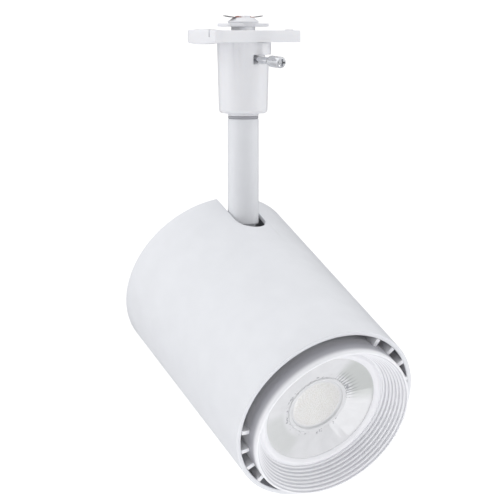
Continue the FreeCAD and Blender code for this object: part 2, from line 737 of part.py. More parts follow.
# ---------------------------------------------------------------- head: hinge
def hinge_bracket():
    """Steel bracket: two ears round the hinge bolt on a foot screwed to the heat sink."""
    inner = D.tongue_thick / 2 + D.washer_thick + D.face_gap
    outer = inner + D.ear_thick
    y, z = D.hinge_offset, D.hinge_from_rear
    foot_back = D.foot_front - D.ear_thick
    parts = []
    for name, low, high in (("left", -outer, -inner), ("right", inner, outer)):
        width = D.ear_thick
        parts.append(cylinder(f"ear_round_{name}", D.tongue_round, width, (low, y, z), "x"))
        parts.append(block(f"ear_{name}", (low, y - D.tongue_round, z),
                           (high, y + D.tongue_round, foot_back + 0.5)))
    parts.append(block("foot", (-D.foot_half, D.foot_low, foot_back),
                       (D.foot_half, D.foot_high, D.foot_front)))
    holes = [cylinder("ear_hole", D.bolt_radius + 0.02, outer * 2 + 4, (-outer - 2, y, z), "x")]
    for side in (-1, 1):
        holes.append(cylinder(f"foot_hole_{side}", 2.02, 4,
                              (side * D.foot_screw_x, D.foot_screw_y, foot_back - 1)))
    keep(cut("bracket_cut", fuse("bracket_blank", *parts), *holes), "hinge_bracket", True)
    screws = [pan_screw(f"foot_screw_{side}", (side * D.foot_screw_x, D.foot_screw_y, foot_back),
                        "z", 2.0, 6.0, 3.2, 2.0) for side in (-1, 1)]
    keep(group("foot_screws", *screws), "bracket_screws", True)


def hinge_hardware():
    """Bolt, nut, spring washer and the friction washers either side of the tongue."""
    inner = D.tongue_thick / 2 + D.washer_thick + D.face_gap
    outer = inner + D.ear_thick
    y, z = D.hinge_offset, D.hinge_from_rear
    nut_thick = 3.6
    shank = cylinder("hinge_shank", D.bolt_radius, outer * 2 + 1.2 + nut_thick, (-outer, y, z), "x")
    cap = cylinder("hinge_cap", 4.2, 2.6, (-outer - 2.6, y, z), "x")
    socket = cylinder("hinge_socket", 1.6, 1.5, (-outer - 2.6, y, z), "x")
    keep(cut("hinge_bolt_cut", fuse("hinge_bolt_blank", shank, cap), socket), "hinge_bolt", True)
    spring = cut("spring_cut", cylinder("spring_disc", 4.2, 1.1, (outer, y, z), "x"),
                 cylinder("spring_hole", D.bolt_radius + 0.02, 4, (outer - 1, y, z), "x"))
    keep(spring, "hinge_spring_washer", True)
    nut = cut("hinge_nut_cut", hexagon("hinge_hex", 8.0, nut_thick, (outer + 1.15, y, z), "x"),
              cylinder("hinge_nut_bore", D.bolt_radius + 0.02, 8, (outer, y, z), "x"))
    keep(nut, "hinge_nut", True)
    washers = []
    for name, low in (("left", -inner), ("right", inner - D.washer_thick)):
        disc = cylinder(f"friction_disc_{name}", D.tongue_round - 0.5, D.washer_thick, (low, y, z), "x")
        hole = cylinder(f"friction_hole_{name}", D.bolt_radius + 0.02, 4, (low - 1, y, z), "x")
        washers.append(cut(f"friction_{name}", disc, hole))
    keep(group("friction_pair", *washers), "hinge_friction_washers", True)


# ---------------------------------------------------------------- head: shell
def housing():
    """Tube with a bevelled front rim and an open slot for the stem."""
    inner = D.tube_radius - D.tube_wall
    tube = ring("housing_body", inner, D.tube_radius, 0, D.tube_length)
    round_edges(tube, lambda e: is_ring(e, D.tube_radius, D.tube_length), D.rim_chamfer, "Chamfer")

    def slot(sketch):
        outline(sketch, [(-D.slot_half, -1), (D.slot_half, -1),
                         (D.slot_half, D.slot_centre), (-D.slot_half, D.slot_centre)])

    sides = block("slot_sides", (-D.slot_half, D.hinge_offset, -1),
                  (D.slot_half, D.tube_radius + 1, D.slot_centre))
    end = cylinder("slot_end", D.slot_half, D.tube_radius + 1 - D.hinge_offset,
                   (0, D.hinge_offset, D.slot_centre), "y")
    screw_holes = []
    for name, along in (("left", -1), ("right", 1)):
        hole = cylinder(f"side_hole_{name}", 1.6, 8)
        sink = cone(f"side_sink_{name}", 1.6, 3.2, 1.75, (0, 0, 4.35))
        screw_holes.append(radial(fuse(f"side_drill_{name}", hole, sink), along * 40 - 90,
                                  D.tube_radius - 6.1, D.sink_back + D.sink_plate / 2))
    keep(cut("housing_cut", tube, sides, end, *screw_holes), "housing", True)


def radial(item, degrees, radius, height):
    """Lays an object's Z axis along a radius of the head's tube."""
    bearing = math.radians(degrees)
    lie = FreeCAD.Rotation(Z_AXIS, degrees).multiply(FreeCAD.Rotation(Y_AXIS, 90))
    return place(item, (radius * math.cos(bearing), radius * math.sin(bearing), height), lie)


def housing_screws():
    """Two screws through the tube's underside into the heat sink's back plate."""
    screws = []
    for name, along in (("left", -1), ("right", 1)):
        shank = cylinder(f"side_shank_{name}", 1.55, 6.0)
        head = cone(f"side_head_{name}", 1.55, 3.0, 1.6, (0, 0, 4.4))
        drive = cylinder(f"side_drive_{name}", 1.1, 1.0, (0, 0, 5.2))
        screw = cut(f"side_screw_{name}", fuse(f"side_blank_{name}", shank, head), drive)
        screws.append(radial(screw, along * 40 - 90, D.tube_radius - 6.1,
                             D.sink_back + D.sink_plate / 2))
    keep(group("side_screws", *screws), "housing_screws", True)


def rear_cover():
    """Recessed rear cover, notched where the stem swings down behind the head."""
    body = new_body("cover_body")
    pad(body, "XY_Plane", lambda s: circle_in(s, 0, 0, D.cover_radius), D.cover_thick, "cover_disc",
        offset=D.cover_inset)

    def notch(sketch):
        top = D.cover_radius + 1
        outline(sketch, [(-D.notch_half, D.notch_floor), (D.notch_half, D.notch_floor),
                         (D.notch_half, top), (-D.notch_half, top)])

    pocket(body, "XY_Plane", notch, D.cover_thick, "stem_notch", offset=D.cover_inset, backwards=True)

    def vents(sketch):
        for row_index in range(5):
            y = -6.0 * row_index - 2
            outline(sketch, [(-20, y), (20, y), (20, y + 2), (-20, y + 2)])

    pocket(body, "XY_Plane", vents, D.cover_thick, "vent_slots", offset=D.cover_inset, backwards=True)
    holes = [cylinder(f"cover_hole_{i}", 1.6, 6, (x, y, D.cover_inset - 1))
             for i, (x, y) in enumerate(COVER_SCREWS)]
    keep(cut("cover_cut", body, *holes), "rear_cover", True)
    screws = [pan_screw(f"cover_screw_{i}", (x, y, D.cover_inset), "z", 1.55,
                        D.sink_back - D.cover_inset + 4, 2.8, 1.5)
              for i, (x, y) in enumerate(COVER_SCREWS)]
    keep(group("cover_screws", *screws), "rear_cover_screws", True)


COVER_SCREWS = ((-35, -12), (35, -12), (0, -36.5), (-24, 28), (24, 28))


# ---------------------------------------------------------------- head: heat sink
def heat_sink():
    """Cast core: back plate, hub, front seat and radial fins."""
    body = new_body("sink_body")
    back, plate_front = D.sink_back, D.sink_back + D.sink_plate
    turn(body, [
        (0, back), (D.sink_radius, back), (D.sink_radius, plate_front), (D.hub_radius, plate_front),
        (D.hub_radius, D.seat_back), (D.seat_radius, D.seat_back), (D.seat_radius, D.seat_front),
        (0, D.seat_front),
    ], "core")

    def fin(sketch):
        half = D.fin_thick / 2
        outline(sketch, [(D.hub_radius - 1, -half), (D.sink_radius, -half),
                         (D.sink_radius, half), (D.hub_radius - 1, half)])

    blade = pad(body, "XY_Plane", fin, D.seat_front - plate_front, "fin", offset=plate_front)
    polar(body, blade, D.fin_count, "fins")
    tools = [cylinder("lead_passage", D.lead_hole_radius * 1.6, D.seat_front - back + 2,
                      (0, -D.lead_hole_drop, back - 1))]
    for side in (-1, 1):
        tools.append(cylinder(f"foot_tap_{side}", 2.02, D.sink_plate,
                              (side * D.foot_screw_x, D.foot_screw_y, back - 1)))
        tap = cylinder(f"side_tap_{side}", 1.57, 6)
        tools.append(radial(tap, side * 40 - 90, D.sink_radius - 5, back + D.sink_plate / 2))
    for i, (x, y) in enumerate(COVER_SCREWS):
        tools.append(cylinder(f"cover_tap_{i}", 1.57, D.sink_plate, (x, y, back - 1)))
    for i, (x, y) in enumerate(CARRIER_SCREWS):
        tools.append(cylinder(f"carrier_tap_{i}", 1.57, 5.2, (x, y, D.seat_front - 5)))
    for i, (x, y) in enumerate(BOARD_SCREWS):
        tools.append(cylinder(f"board_tap_{i}", 1.27, 5.2, (x, y, D.seat_front - 5)))
    keep(cut("sink_cut", body, *tools), "heat_sink", True)


def on_circle(radius, count, first):
    """Points round the head's axis."""
    angles = [math.radians(first + 360 * index / count) for index in range(count)]
    return [(radius * math.cos(angle), radius * math.sin(angle)) for angle in angles]


CARRIER_SCREWS = on_circle(27.5, 3, 97.5)
BOARD_SCREWS = on_circle(12.3, 2, 45)


# ---------------------------------------------------------------- head: light engine
def light_engine():
    """Thermal pad, board, emitter, holder and the screws that clamp them."""
    pad_front = D.seat_front + D.pad_thick
    board_front = pad_front + D.board_thick
    screw_holes = []
    for name, low, thick in (("pad", D.seat_front, D.pad_thick), ("board", pad_front, D.board_thick)):
        screw_holes.append([cylinder(f"{name}_hole_{i}", 1.27, thick + 2, (x, y, low - 1))
                            for i, (x, y) in enumerate(BOARD_SCREWS)])
    thermal = cylinder("pad_disc", D.board_radius, D.pad_thick, (0, 0, D.seat_front))
    keep(cut("pad_cut", thermal, *screw_holes[0]), "thermal_pad", True)
    board = cylinder("board_disc", D.board_radius, D.board_thick, (0, 0, pad_front))
    keep(cut("board_cut", board, *screw_holes[1]), "led_board", True)
    keep(cylinder("emitter_disc", D.emitter_radius, D.emitter_thick, (0, 0, board_front)),
         "led_emitter", True)
    holder = ring("holder_body", D.holder_inner, D.holder_outer, board_front,
                  board_front + D.holder_thick)
    counter = [cylinder(f"holder_hole_{i}", 2.4, D.holder_thick + 2, (x, y, board_front - 1))
               for i, (x, y) in enumerate(BOARD_SCREWS)]
    lead_gap = block("holder_lead_gap", (-2.6, -D.holder_outer - 1, board_front - 1),
                     (2.6, -D.holder_inner - 2.4, board_front + 2.2))
    keep(cut("holder_cut", holder, lead_gap, *counter), "led_holder", True)
    screws = []
    for i, (x, y) in enumerate(BOARD_SCREWS):
        shank = cylinder(f"board_shank_{i}", 1.25, 6, (x, y, board_front - 6))
        head = cylinder(f"board_head_{i}", 2.2, 1.4, (x, y, board_front))
        drive = cylinder(f"board_drive_{i}", 1.0, 1, (x, y, board_front + 0.8))
        screws.append(cut(f"board_screw_{i}", fuse(f"board_blank_{i}", shank, head), drive))
    keep(group("board_screws", *screws), "led_board_screws", True)


def optic_carrier():
    """Ring on the heat sink's seat that centres the lens and takes the baffle."""
    seat = D.seat_front + 0.05
    inner = D.skirt_radius - D.skirt_wall
    blank = turned("carrier_ring", [
        (D.carrier_flange, seat), (D.skirt_radius, seat), (D.skirt_radius, D.skirt_front),
        (inner, D.skirt_front), (inner, seat + 2), (D.carrier_flange, seat + 2),
    ])
    holes = [cylinder(f"optic_hole_{i}", 1.6, 5, (x, y, seat - 1))
             for i, (x, y) in enumerate(CARRIER_SCREWS)]
    keep(cut("optic_carrier_cut", blank, *holes), "optic_carrier", True)
    screws = []
    for i, (x, y) in enumerate(CARRIER_SCREWS):
        shank = cylinder(f"optic_shank_{i}", 1.55, 7, (x, y, seat - 4.9))
        head = cylinder(f"optic_head_{i}", 2.7, 1.6, (x, y, seat + 2))
        screws.append(fuse(f"optic_screw_{i}", shank, head))
    keep(group("optic_screws", *screws), "carrier_screws", True)


def lens():
    """Collimating lens: flat front, flared flank and a domed cavity over the emitter."""
    front, flange_back = D.lens_front, D.lens_front - D.lens_flange
    keep(turned("lens_body", [
        (0, D.cavity_roof), (D.lens_cavity - 1, D.cavity_edge), (D.lens_cavity, D.lens_rear),
        (D.lens_throat, D.lens_rear), (D.lens_throat + 6.8, D.lens_rear + 4),
        (D.lens_radius - 2.9, flange_back - 0.7), (D.lens_radius - 1.2, flange_back),
        (D.lens_radius, flange_back), (D.lens_radius, front), (0, front),
    ]), "lens", True)
    keep(ring("gasket_body", D.lens_radius + 0.1, D.lens_radius + 1.7, flange_back, front),
         "lens_ring", True)


def baffle():
    """Front baffle: stepped cone behind a protruding lip, with two rows of ribs that centre it."""
    body = new_body("baffle_body")
    outer, wall, rear = D.baffle_radius, D.baffle_wall, D.baffle_rear
    seat = D.lens_front + 0.05
    step_out = (D.lip_inner - D.cone_inner) / D.baffle_steps
    step_up = (D.lip_front - 0.4 - D.cone_floor) / D.baffle_steps
    corners = [(D.window_radius, seat + 0.9), (D.window_radius + 1.6, seat + D.annulus_rise)]
    corners.append((D.cone_inner - 1.1, D.cone_floor + 0.8))
    for index in range(int(D.baffle_steps.value)):
        radius = D.cone_inner + step_out * index
        height = D.cone_floor + step_up * index
        corners.append((radius, height))
        corners.append((radius, height + step_up * 0.7))
    corners += [
        (D.lip_inner, D.lip_front - 0.4), (D.lip_inner + 0.3, D.lip_front),
        (outer - D.lip_round, D.lip_front), (outer - D.lip_round * 0.3, D.lip_front - D.lip_round * 0.3),
        (outer, D.lip_front - D.lip_round),
        (outer, rear), (outer - wall, rear), (outer - wall, D.lip_front - 5.5),
        (D.cone_inner + 1.1, D.cone_floor - 1.5), (D.lens_radius + 1.9, D.cone_floor - 1.9),
        (D.lens_radius + 1.9, seat), (D.window_radius, seat),
    ]
    turn(body, corners, "shell")

    def rib(sketch):
        half = D.vent_rib_thick / 2
        outline(sketch, [(outer - 0.8, -half), (D.vent_rib_radius, -half),
                         (D.vent_rib_radius, half), (outer - 0.8, half)])

    rib_groups = []
    for side, start in (("upper", D.rib_row_upper), ("lower", D.rib_row_lower)):
        ribs = new_body(f"vent_ribs_{side}")
        spoke = pad(ribs, "XY_Plane", rib, D.vent_rib_front - rear, f"rib_{side}", offset=rear)
        sweep = (D.vent_rib_count - 1) * D.vent_rib_pitch
        polar(ribs, spoke, D.vent_rib_count, f"rib_row_{side}", sweep)
        place(ribs, (0, 0, 0), FreeCAD.Rotation(Z_AXIS, start.value))
        rib_groups.append(ribs)
    keep(fuse("baffle_fused", body, *rib_groups), "baffle", True)


def baffle_clips():
    """Three sprung clips between the baffle's skirt and the carrier ring."""
    low, high = D.baffle_rear + 0.5, D.skirt_front - 0.2
    clips = []
    for index in range(3):
        sector = cylinder(f"clip_sector_{index}", D.skirt_radius + D.clip_thick + 0.03, high - low,
                          (0, 0, low), angle=10, start=85 + 120 * index)
        inside = cylinder(f"clip_inside_{index}", D.skirt_radius + 0.03, high - low, (0, 0, low))
        clips.append(cut(f"clip_{index}", sector, inside))
    keep(group("clips", *clips), "baffle_clips", True)


# ---------------------------------------------------------------- head: driver
def driver_case():
    """Open plastic case below the hinge, and the lid that closes its rear."""
    half, low, high = D.case_half, -D.case_low, D.case_high
    wall, rear, front = D.case_wall, D.case_rear, D.case_front
    shell = block("case_shell", (-half, low, rear), (half, high, front))
    room = block("case_room", (wall - half, low + wall, rear - 1), (half - wall, high - wall, front - wall))
    lead_in = cylinder("case_lead_in", 2.6, 6, (0, high - 3, 28), "y")
    lead_out = cylinder("case_lead_out", 2.6, 6, (0, -D.lead_hole_drop, front - 3))
    keep(cut("case_cut", shell, room, lead_in, lead_out), "driver_case", True)
    keep(block("lid_block", (-half, low, rear - 1.5), (half, high, rear - 0.05)), "driver_lid", True)


def driver_inside():
    """Driver board with its wound parts, capacitors, chips and terminals."""
    under = -D.driver_board_low
    top = under + D.driver_board_thick
    rear, front = D.case_rear + 2, D.case_front - D.case_wall - 0.6
    keep(block("board_block", (-26, under, rear), (26, top, front)), "driver_board", True)
    core = block("core_block", (-9, top, 13), (9, top + 15, 31))
    winding_room = block("core_room", (-6, top + 3, 12), (6, top + 12, 32))
    keep(cut("core_cut", core, winding_room), "transformer_core", True)
    keep(block("winding_block", (-5.8, top + 3.2, 11.5), (5.8, top + 11.8, 32.5)),
         "transformer_winding", True)
    keep(cylinder("input_can", 5.0, 16, (17, top + 0.1, 18), "y"), "input_capacitor", True)
    keep(cylinder("output_can", 4.0, 12, (-16, top + 0.1, 28), "y"), "output_capacitor", True)
    drum = cut("inductor_cut", cylinder("inductor_drum", 4.5, 8, (-16, top + 0.1, 16), "y"),
               cylinder("inductor_eye", 1.5, 10, (-16, top, 16), "y"))
    keep(drum, "inductor", True)
    chips = [block("chip_a", (10, top, 27), (15, top + 2, 33)),
             block("chip_b", (18, top, 27), (24, top + 3, 32)),
             block("chip_c", (-24, top, 22), (-21, top + 2, 26))]
    keep(group("chips", *chips), "driver_chips", True)
    keep(block("terminal_block", (-25, top, 10.5), (-21.5, top + 7, 20)), "driver_terminals", True)


def head_leads():
    """Wires from the hinge into the driver, and from the driver through the sink to the board."""
    offset = 1.3
    high = D.case_high
    into = [[(side * offset, 23, 28), (side * offset, high - 12, 28)] for side in (-1, 1)]
    wires("driver_leads", into, 0.9, 2, True)
    board_front = D.seat_front + D.pad_thick + D.board_thick
    drop = -D.lead_hole_drop
    out = [[(side * offset, drop, 33.5), (side * offset, drop, board_front + 1.1),
            (side * offset, -13.2, board_front + 1.1)] for side in (-1, 1)]
    wires("led_leads", out, 0.8, 1.6, True)


adapter_plate()
adapter_body()
adapter_inside()
contact_drum()
lever()
detent()
locking_wings()
contact_carrier()
contact_leaf("live_contact", -1)
contact_leaf("neutral_contact", 1)
contact_fixings()
nipple_parts()
stem_tube()
stem_knuckle()
supply_leads()
hinge_bracket()
hinge_hardware()
housing()
housing_screws()
rear_cover()
heat_sink()
light_engine()
optic_carrier()
lens()
baffle()
baffle_clips()
driver_case()
driver_inside()
head_leads()
doc.recompute()

# ---------------------------------------------------------------- checks and files
for item in doc.Objects:
    if "Invalid" in item.State or "Error" in item.State:
        raise RuntimeError(f"{item.Name} ({item.Label}) is {item.State}")
for piece in pieces:
    if piece.Shape.isNull() or not piece.Shape.isValid() or not piece.Shape.Solids:
        raise RuntimeError(f"{piece.Label} has no sound solid")

os.makedirs("parts", exist_ok=True)
for piece in pieces:
    piece.Shape.exportStep(f"parts/{piece.Label}.step")
print(len(pieces), "sub-parts written")
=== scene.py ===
import json
import math

import bmesh
import bpy
from mathutils import Matrix, Vector
from mathutils.kdtree import KDTree


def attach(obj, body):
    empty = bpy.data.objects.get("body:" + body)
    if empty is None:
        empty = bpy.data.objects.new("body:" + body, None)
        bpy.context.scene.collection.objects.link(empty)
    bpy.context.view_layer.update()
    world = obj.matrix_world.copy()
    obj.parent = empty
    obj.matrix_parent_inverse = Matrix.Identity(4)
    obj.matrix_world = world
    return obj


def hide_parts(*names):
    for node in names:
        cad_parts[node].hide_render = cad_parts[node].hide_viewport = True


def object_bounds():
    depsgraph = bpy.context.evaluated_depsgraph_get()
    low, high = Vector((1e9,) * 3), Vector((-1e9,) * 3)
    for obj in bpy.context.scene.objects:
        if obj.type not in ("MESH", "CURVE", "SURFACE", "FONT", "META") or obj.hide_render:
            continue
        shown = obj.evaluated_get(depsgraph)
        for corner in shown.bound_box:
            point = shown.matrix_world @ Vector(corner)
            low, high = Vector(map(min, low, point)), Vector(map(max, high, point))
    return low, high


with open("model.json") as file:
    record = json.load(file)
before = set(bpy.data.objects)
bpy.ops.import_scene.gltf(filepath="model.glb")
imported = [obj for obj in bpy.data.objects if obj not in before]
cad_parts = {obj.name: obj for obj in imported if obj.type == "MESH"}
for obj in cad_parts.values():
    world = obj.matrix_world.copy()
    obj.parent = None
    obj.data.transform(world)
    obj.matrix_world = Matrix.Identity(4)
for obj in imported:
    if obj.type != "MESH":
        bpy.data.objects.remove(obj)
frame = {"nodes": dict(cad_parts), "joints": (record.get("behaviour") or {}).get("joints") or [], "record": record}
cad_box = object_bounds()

# Track spotlight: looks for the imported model. Sizes are in millimetres unless a name says
# metres, and MM turns them into Blender's metres. Head pieces are drawn in the head's own frame,
# with z along the tube from its rear rim to its front and y towards the slotted side.

MM = 0.001
TURN = 2 * math.pi

# ---------------------------------------------------------------- places taken from the frame
joints = {joint["name"]: joint for joint in frame["joints"]}
HINGE = Vector(joints["head_tilt"]["pos_m"])
AIM = math.radians(-joints["head_tilt"]["range_deg"][0])   # the low limit is horizontal
HINGE_OFFSET = 31.8
HINGE_FROM_REAR = 19.3
HEAD = (Matrix.Translation(HINGE) @ Matrix.Rotation(math.pi / 2 + AIM, 4, "X")
        @ Matrix.Translation((0, -HINGE_OFFSET * MM, -HINGE_FROM_REAR * MM)))
AT_ORIGIN = Matrix.Identity(4)

# ---------------------------------------------------------------- sizes that pieces share
TUBE_RADIUS, TUBE_INNER, TUBE_LENGTH = 45.0, 42.8, 116.5
SLOT_HALF, SLOT_CENTRE = 7.7, 19.4
STEM_RADIUS = 7.3
BODY_BOTTOM = 38.9
PLATE_THICK = 5.6
LENS_FRONT, LENS_RADIUS = 111.8, 29.4
BAFFLE_RADIUS, BAFFLE_REAR, LIP_FRONT, LIP_INNER = 39.2, 105.0, 123.8, 38.0
CONE_INNER, CONE_FLOOR, STEPS = 31.8, 112.1, 7
STEP_OUT, STEP_UP = (LIP_INNER - CONE_INNER) / STEPS, (LIP_FRONT - 0.5 - CONE_FLOOR) / STEPS
# The second value is the height on the tube where the painted shade of its inner wall starts to fade in.
TUBE_END, GAP_SHADE_FROM = TUBE_LENGTH - 0.32, 70.0
DISH_FLOOR, DOME_RADIUS, DOME_RISE = 108.3, 12.0, 0.9
FINE, MEDIUM = 256, 96     # vertices round a large and a small turned piece


# ---------------------------------------------------------------- materials
def node_material(name, colour, roughness, metallic=0.0):
    """A Principled material and handles to its tree."""
    made = bpy.data.materials.new(name)
    made.use_nodes = True
    shader = made.node_tree.nodes["Principled BSDF"]
    shader.inputs["Base Color"].default_value = (*colour, 1)
    shader.inputs["Roughness"].default_value = roughness
    shader.inputs["Metallic"].default_value = metallic
    return made, made.node_tree, shader


def texture(tree, kind, scale, **settings):
    """A texture node in the piece's own coordinates. Its scale counts cells per metre."""
    place = tree.nodes.new("ShaderNodeTexCoord")
    made = tree.nodes.new(f"ShaderNodeTex{kind}")
    made.inputs["Scale"].default_value = scale
    for socket, value in settings.items():
        made.inputs[socket].default_value = value
    tree.links.new(place.outputs["Object"], made.inputs["Vector"])
    return made


def vary_colour(tree, shader, source, dark, light, low=0.3, high=0.7):
    """Lets a texture move the base colour between two tones."""
    ramp = tree.nodes.new("ShaderNodeValToRGB")
    ramp.color_ramp.elements[0].position = low
    ramp.color_ramp.elements[0].color = (*dark, 1)
    ramp.color_ramp.elements[1].position = high
    ramp.color_ramp.elements[1].color = (*light, 1)
    tree.links.new(source, ramp.inputs["Fac"])
    tree.links.new(ramp.outputs["Color"], shader.inputs["Base Color"])


def vary_roughness(tree, shader, source, low, high):
    """Lets a texture move the roughness between two values."""
    span = tree.nodes.new("ShaderNodeMapRange")
    span.inputs["To Min"].default_value = low
    span.inputs["To Max"].default_value = high
    tree.links.new(source, span.inputs["Value"])
    tree.links.new(span.outputs["Result"], shader.inputs["Roughness"])


def bumps(tree, shader, *layers):
    """Stacks bump layers, each a texture output with its depth in millimetres."""
    previous = None
    for source, depth in layers:
        bump = tree.nodes.new("ShaderNodeBump")
        bump.inputs["Strength"].default_value = 1.0
        bump.inputs["Distance"].default_value = depth * MM
        tree.links.new(source, bump.inputs["Height"])
        if previous:
            tree.links.new(previous.outputs["Normal"], bump.inputs["Normal"])
        previous = bump
    tree.links.new(previous.outputs["Normal"], shader.inputs["Normal"])


def shaded(colour, factor):
    """A colour made lighter or darker, and kept from passing white."""
    return tuple(min(1.0, channel * factor) for channel in colour)


def step_between(tree, source, low, high):
    """A value that climbs smoothly from 0 to 1 as the source goes from low to high."""
    span = tree.nodes.new("ShaderNodeMapRange")
    span.interpolation_type = "SMOOTHSTEP"
    span.inputs["From Min"].default_value = low
    span.inputs["From Max"].default_value = high
    if low > high:
        span.inputs["From Min"].default_value, span.inputs["From Max"].default_value = high, low
        span.inputs["To Min"].default_value, span.inputs["To Max"].default_value = 1.0, 0.0
    tree.links.new(source, span.inputs["Value"])
    return span.outputs["Result"]


def math_node(tree, operation, *values):
    """One Math node, fed by sockets and plain numbers."""
    node = tree.nodes.new("ShaderNodeMath")
    node.operation = operation
    for socket, value in zip(node.inputs, values):
        if isinstance(value, (int, float)):
            socket.default_value = value
        else:
            tree.links.new(value, socket)
    return node.outputs["Value"]


def product(tree, *values):
    """Several values multiplied together."""
    total = values[0]
    for value in values[1:]:
        total = math_node(tree, "MULTIPLY", total, value)
    return total


def within(tree, source, rise, fall):
    """A value of 1 over a stretch with soft ends, each end given as two places in millimetres."""
    return product(tree, step_between(tree, source, rise[0] * MM, rise[1] * MM),
                   step_between(tree, source, fall[0] * MM, fall[1] * MM))


def own_place(tree):
    """The piece's own x, y and height, and the distance from its own axis, all in metres."""
    place = tree.nodes.new("ShaderNodeTexCoord")
    split = tree.nodes.new("ShaderNodeSeparateXYZ")
    tree.links.new(place.outputs["Object"], split.inputs["Vector"])
    flat = tree.nodes.new("ShaderNodeVectorMath")
    flat.operation = "MULTIPLY"
    flat.inputs[1].default_value = (1, 1, 0)
    tree.links.new(place.outputs["Object"], flat.inputs[0])
    length = tree.nodes.new("ShaderNodeVectorMath")
    length.operation = "LENGTH"
    tree.links.new(flat.outputs["Vector"], length.inputs[0])
    return {"x": split.outputs["X"], "y": split.outputs["Y"], "height": split.outputs["Z"],
            "radius": length.outputs["Value"]}


def tinted_where(made, tone, where):
    """Mixes a second tone into a material's base colour where a value says so."""
    tree = made.node_tree
    shader = tree.nodes["Principled BSDF"]
    plain = shader.inputs["Base Color"].links[0].from_socket
    mix = tree.nodes.new("ShaderNodeMix")
    mix.data_type = "RGBA"
    colours = [socket for socket in mix.inputs if socket.type == "RGBA"]
    tree.links.new(where, mix.inputs[0])
    tree.links.new(plain, colours[0])
    colours[1].default_value = (*tone, 1)
    result = [socket for socket in mix.outputs if socket.type == "RGBA"][0]
    tree.links.new(result, shader.inputs["Base Color"])
    return made


def powder_coat(name):
    """White powder coat: a fine orange peel over a very faint mottling."""
    colour = (0.80, 0.81, 0.83)
    made, tree, shader = node_material(name, colour, 0.42)
    shader.inputs["Specular IOR Level"].default_value = 0.45
    mottle = texture(tree, "Noise", 90, Detail=4.0)
    peel = texture(tree, "Noise", 1500, Detail=2.0)
    speck = texture(tree, "Voronoi", 2600)
    vary_colour(tree, shader, mottle.outputs["Fac"], shaded(colour, 0.975), shaded(colour, 1.01))
    vary_roughness(tree, shader, mottle.outputs["Fac"], 0.37, 0.47)
    bumps(tree, shader, (peel.outputs["Fac"], 0.018), (speck.outputs["Distance"], 0.006))
    return made


def moulded(name, colour, roughness, grain=0.01, tint=0.97, soft=0.0):
    """Moulded plastic: faint flow marks and a fine spark-eroded grain."""
    made, tree, shader = node_material(name, colour, roughness)
    shader.inputs["Subsurface Weight"].default_value = soft
    shader.inputs["Subsurface Radius"].default_value = (1.0, 0.9, 0.8)
    shader.inputs["Subsurface Scale"].default_value = 0.001
    flow = texture(tree, "Noise", 60, Detail=3.0, Distortion=0.6)
    fine = texture(tree, "Noise", 2800, Detail=2.0)
    vary_colour(tree, shader, flow.outputs["Fac"], shaded(colour, tint), colour)
    vary_roughness(tree, shader, flow.outputs["Fac"], roughness * 0.85, roughness * 1.15)
    bumps(tree, shader, (fine.outputs["Fac"], grain))
    return made


def plated(name, colour, roughness, scratches=0.003):
    """Plated or bare metal: thin scratches and a cloudy polish."""
    made, tree, shader = node_material(name, colour, roughness, 1.0)
    cloud = texture(tree, "Noise", 240, Detail=5.0)
    scratch = texture(tree, "Wave", 900, Distortion=9.0, Detail=3.0)
    vary_colour(tree, shader, cloud.outputs["Fac"], shaded(colour, 0.86), colour)
    vary_roughness(tree, shader, cloud.outputs["Fac"], roughness * 0.7, roughness * 1.5)
    bumps(tree, shader, (scratch.outputs["Fac"], scratches))
    return made


def blasted(name, colour, roughness=0.55):
    """Cast or anodised aluminium with a blasted skin."""
    made, tree, shader = node_material(name, colour, roughness, 0.55)
    pits = texture(tree, "Voronoi", 1700)
    cloud = texture(tree, "Noise", 160, Detail=4.0)
    vary_colour(tree, shader, cloud.outputs["Fac"], shaded(colour, 0.8), shaded(colour, 1.15))
    bumps(tree, shader, (pits.outputs["Distance"], 0.03))
    return made


# Where each painted reflection on the lens fades in and out, as radii: cool sectors, streaks and specks.
REFLECTION_SECTOR_SPAN = (16.5, 19.0), (27.8, 27.0)
REFLECTED_STREAK_SPAN = (14.6, 15.2), (22.5, 17.0)
GLINT_SPECK_SPAN = (15.0, 15.4), (17.3, 16.3)
REFLECTION_SECTOR_BEARING, REFLECTED_STREAKS, REFLECTED_STREAK_WOBBLE = math.radians(40), 60.0, 9.0


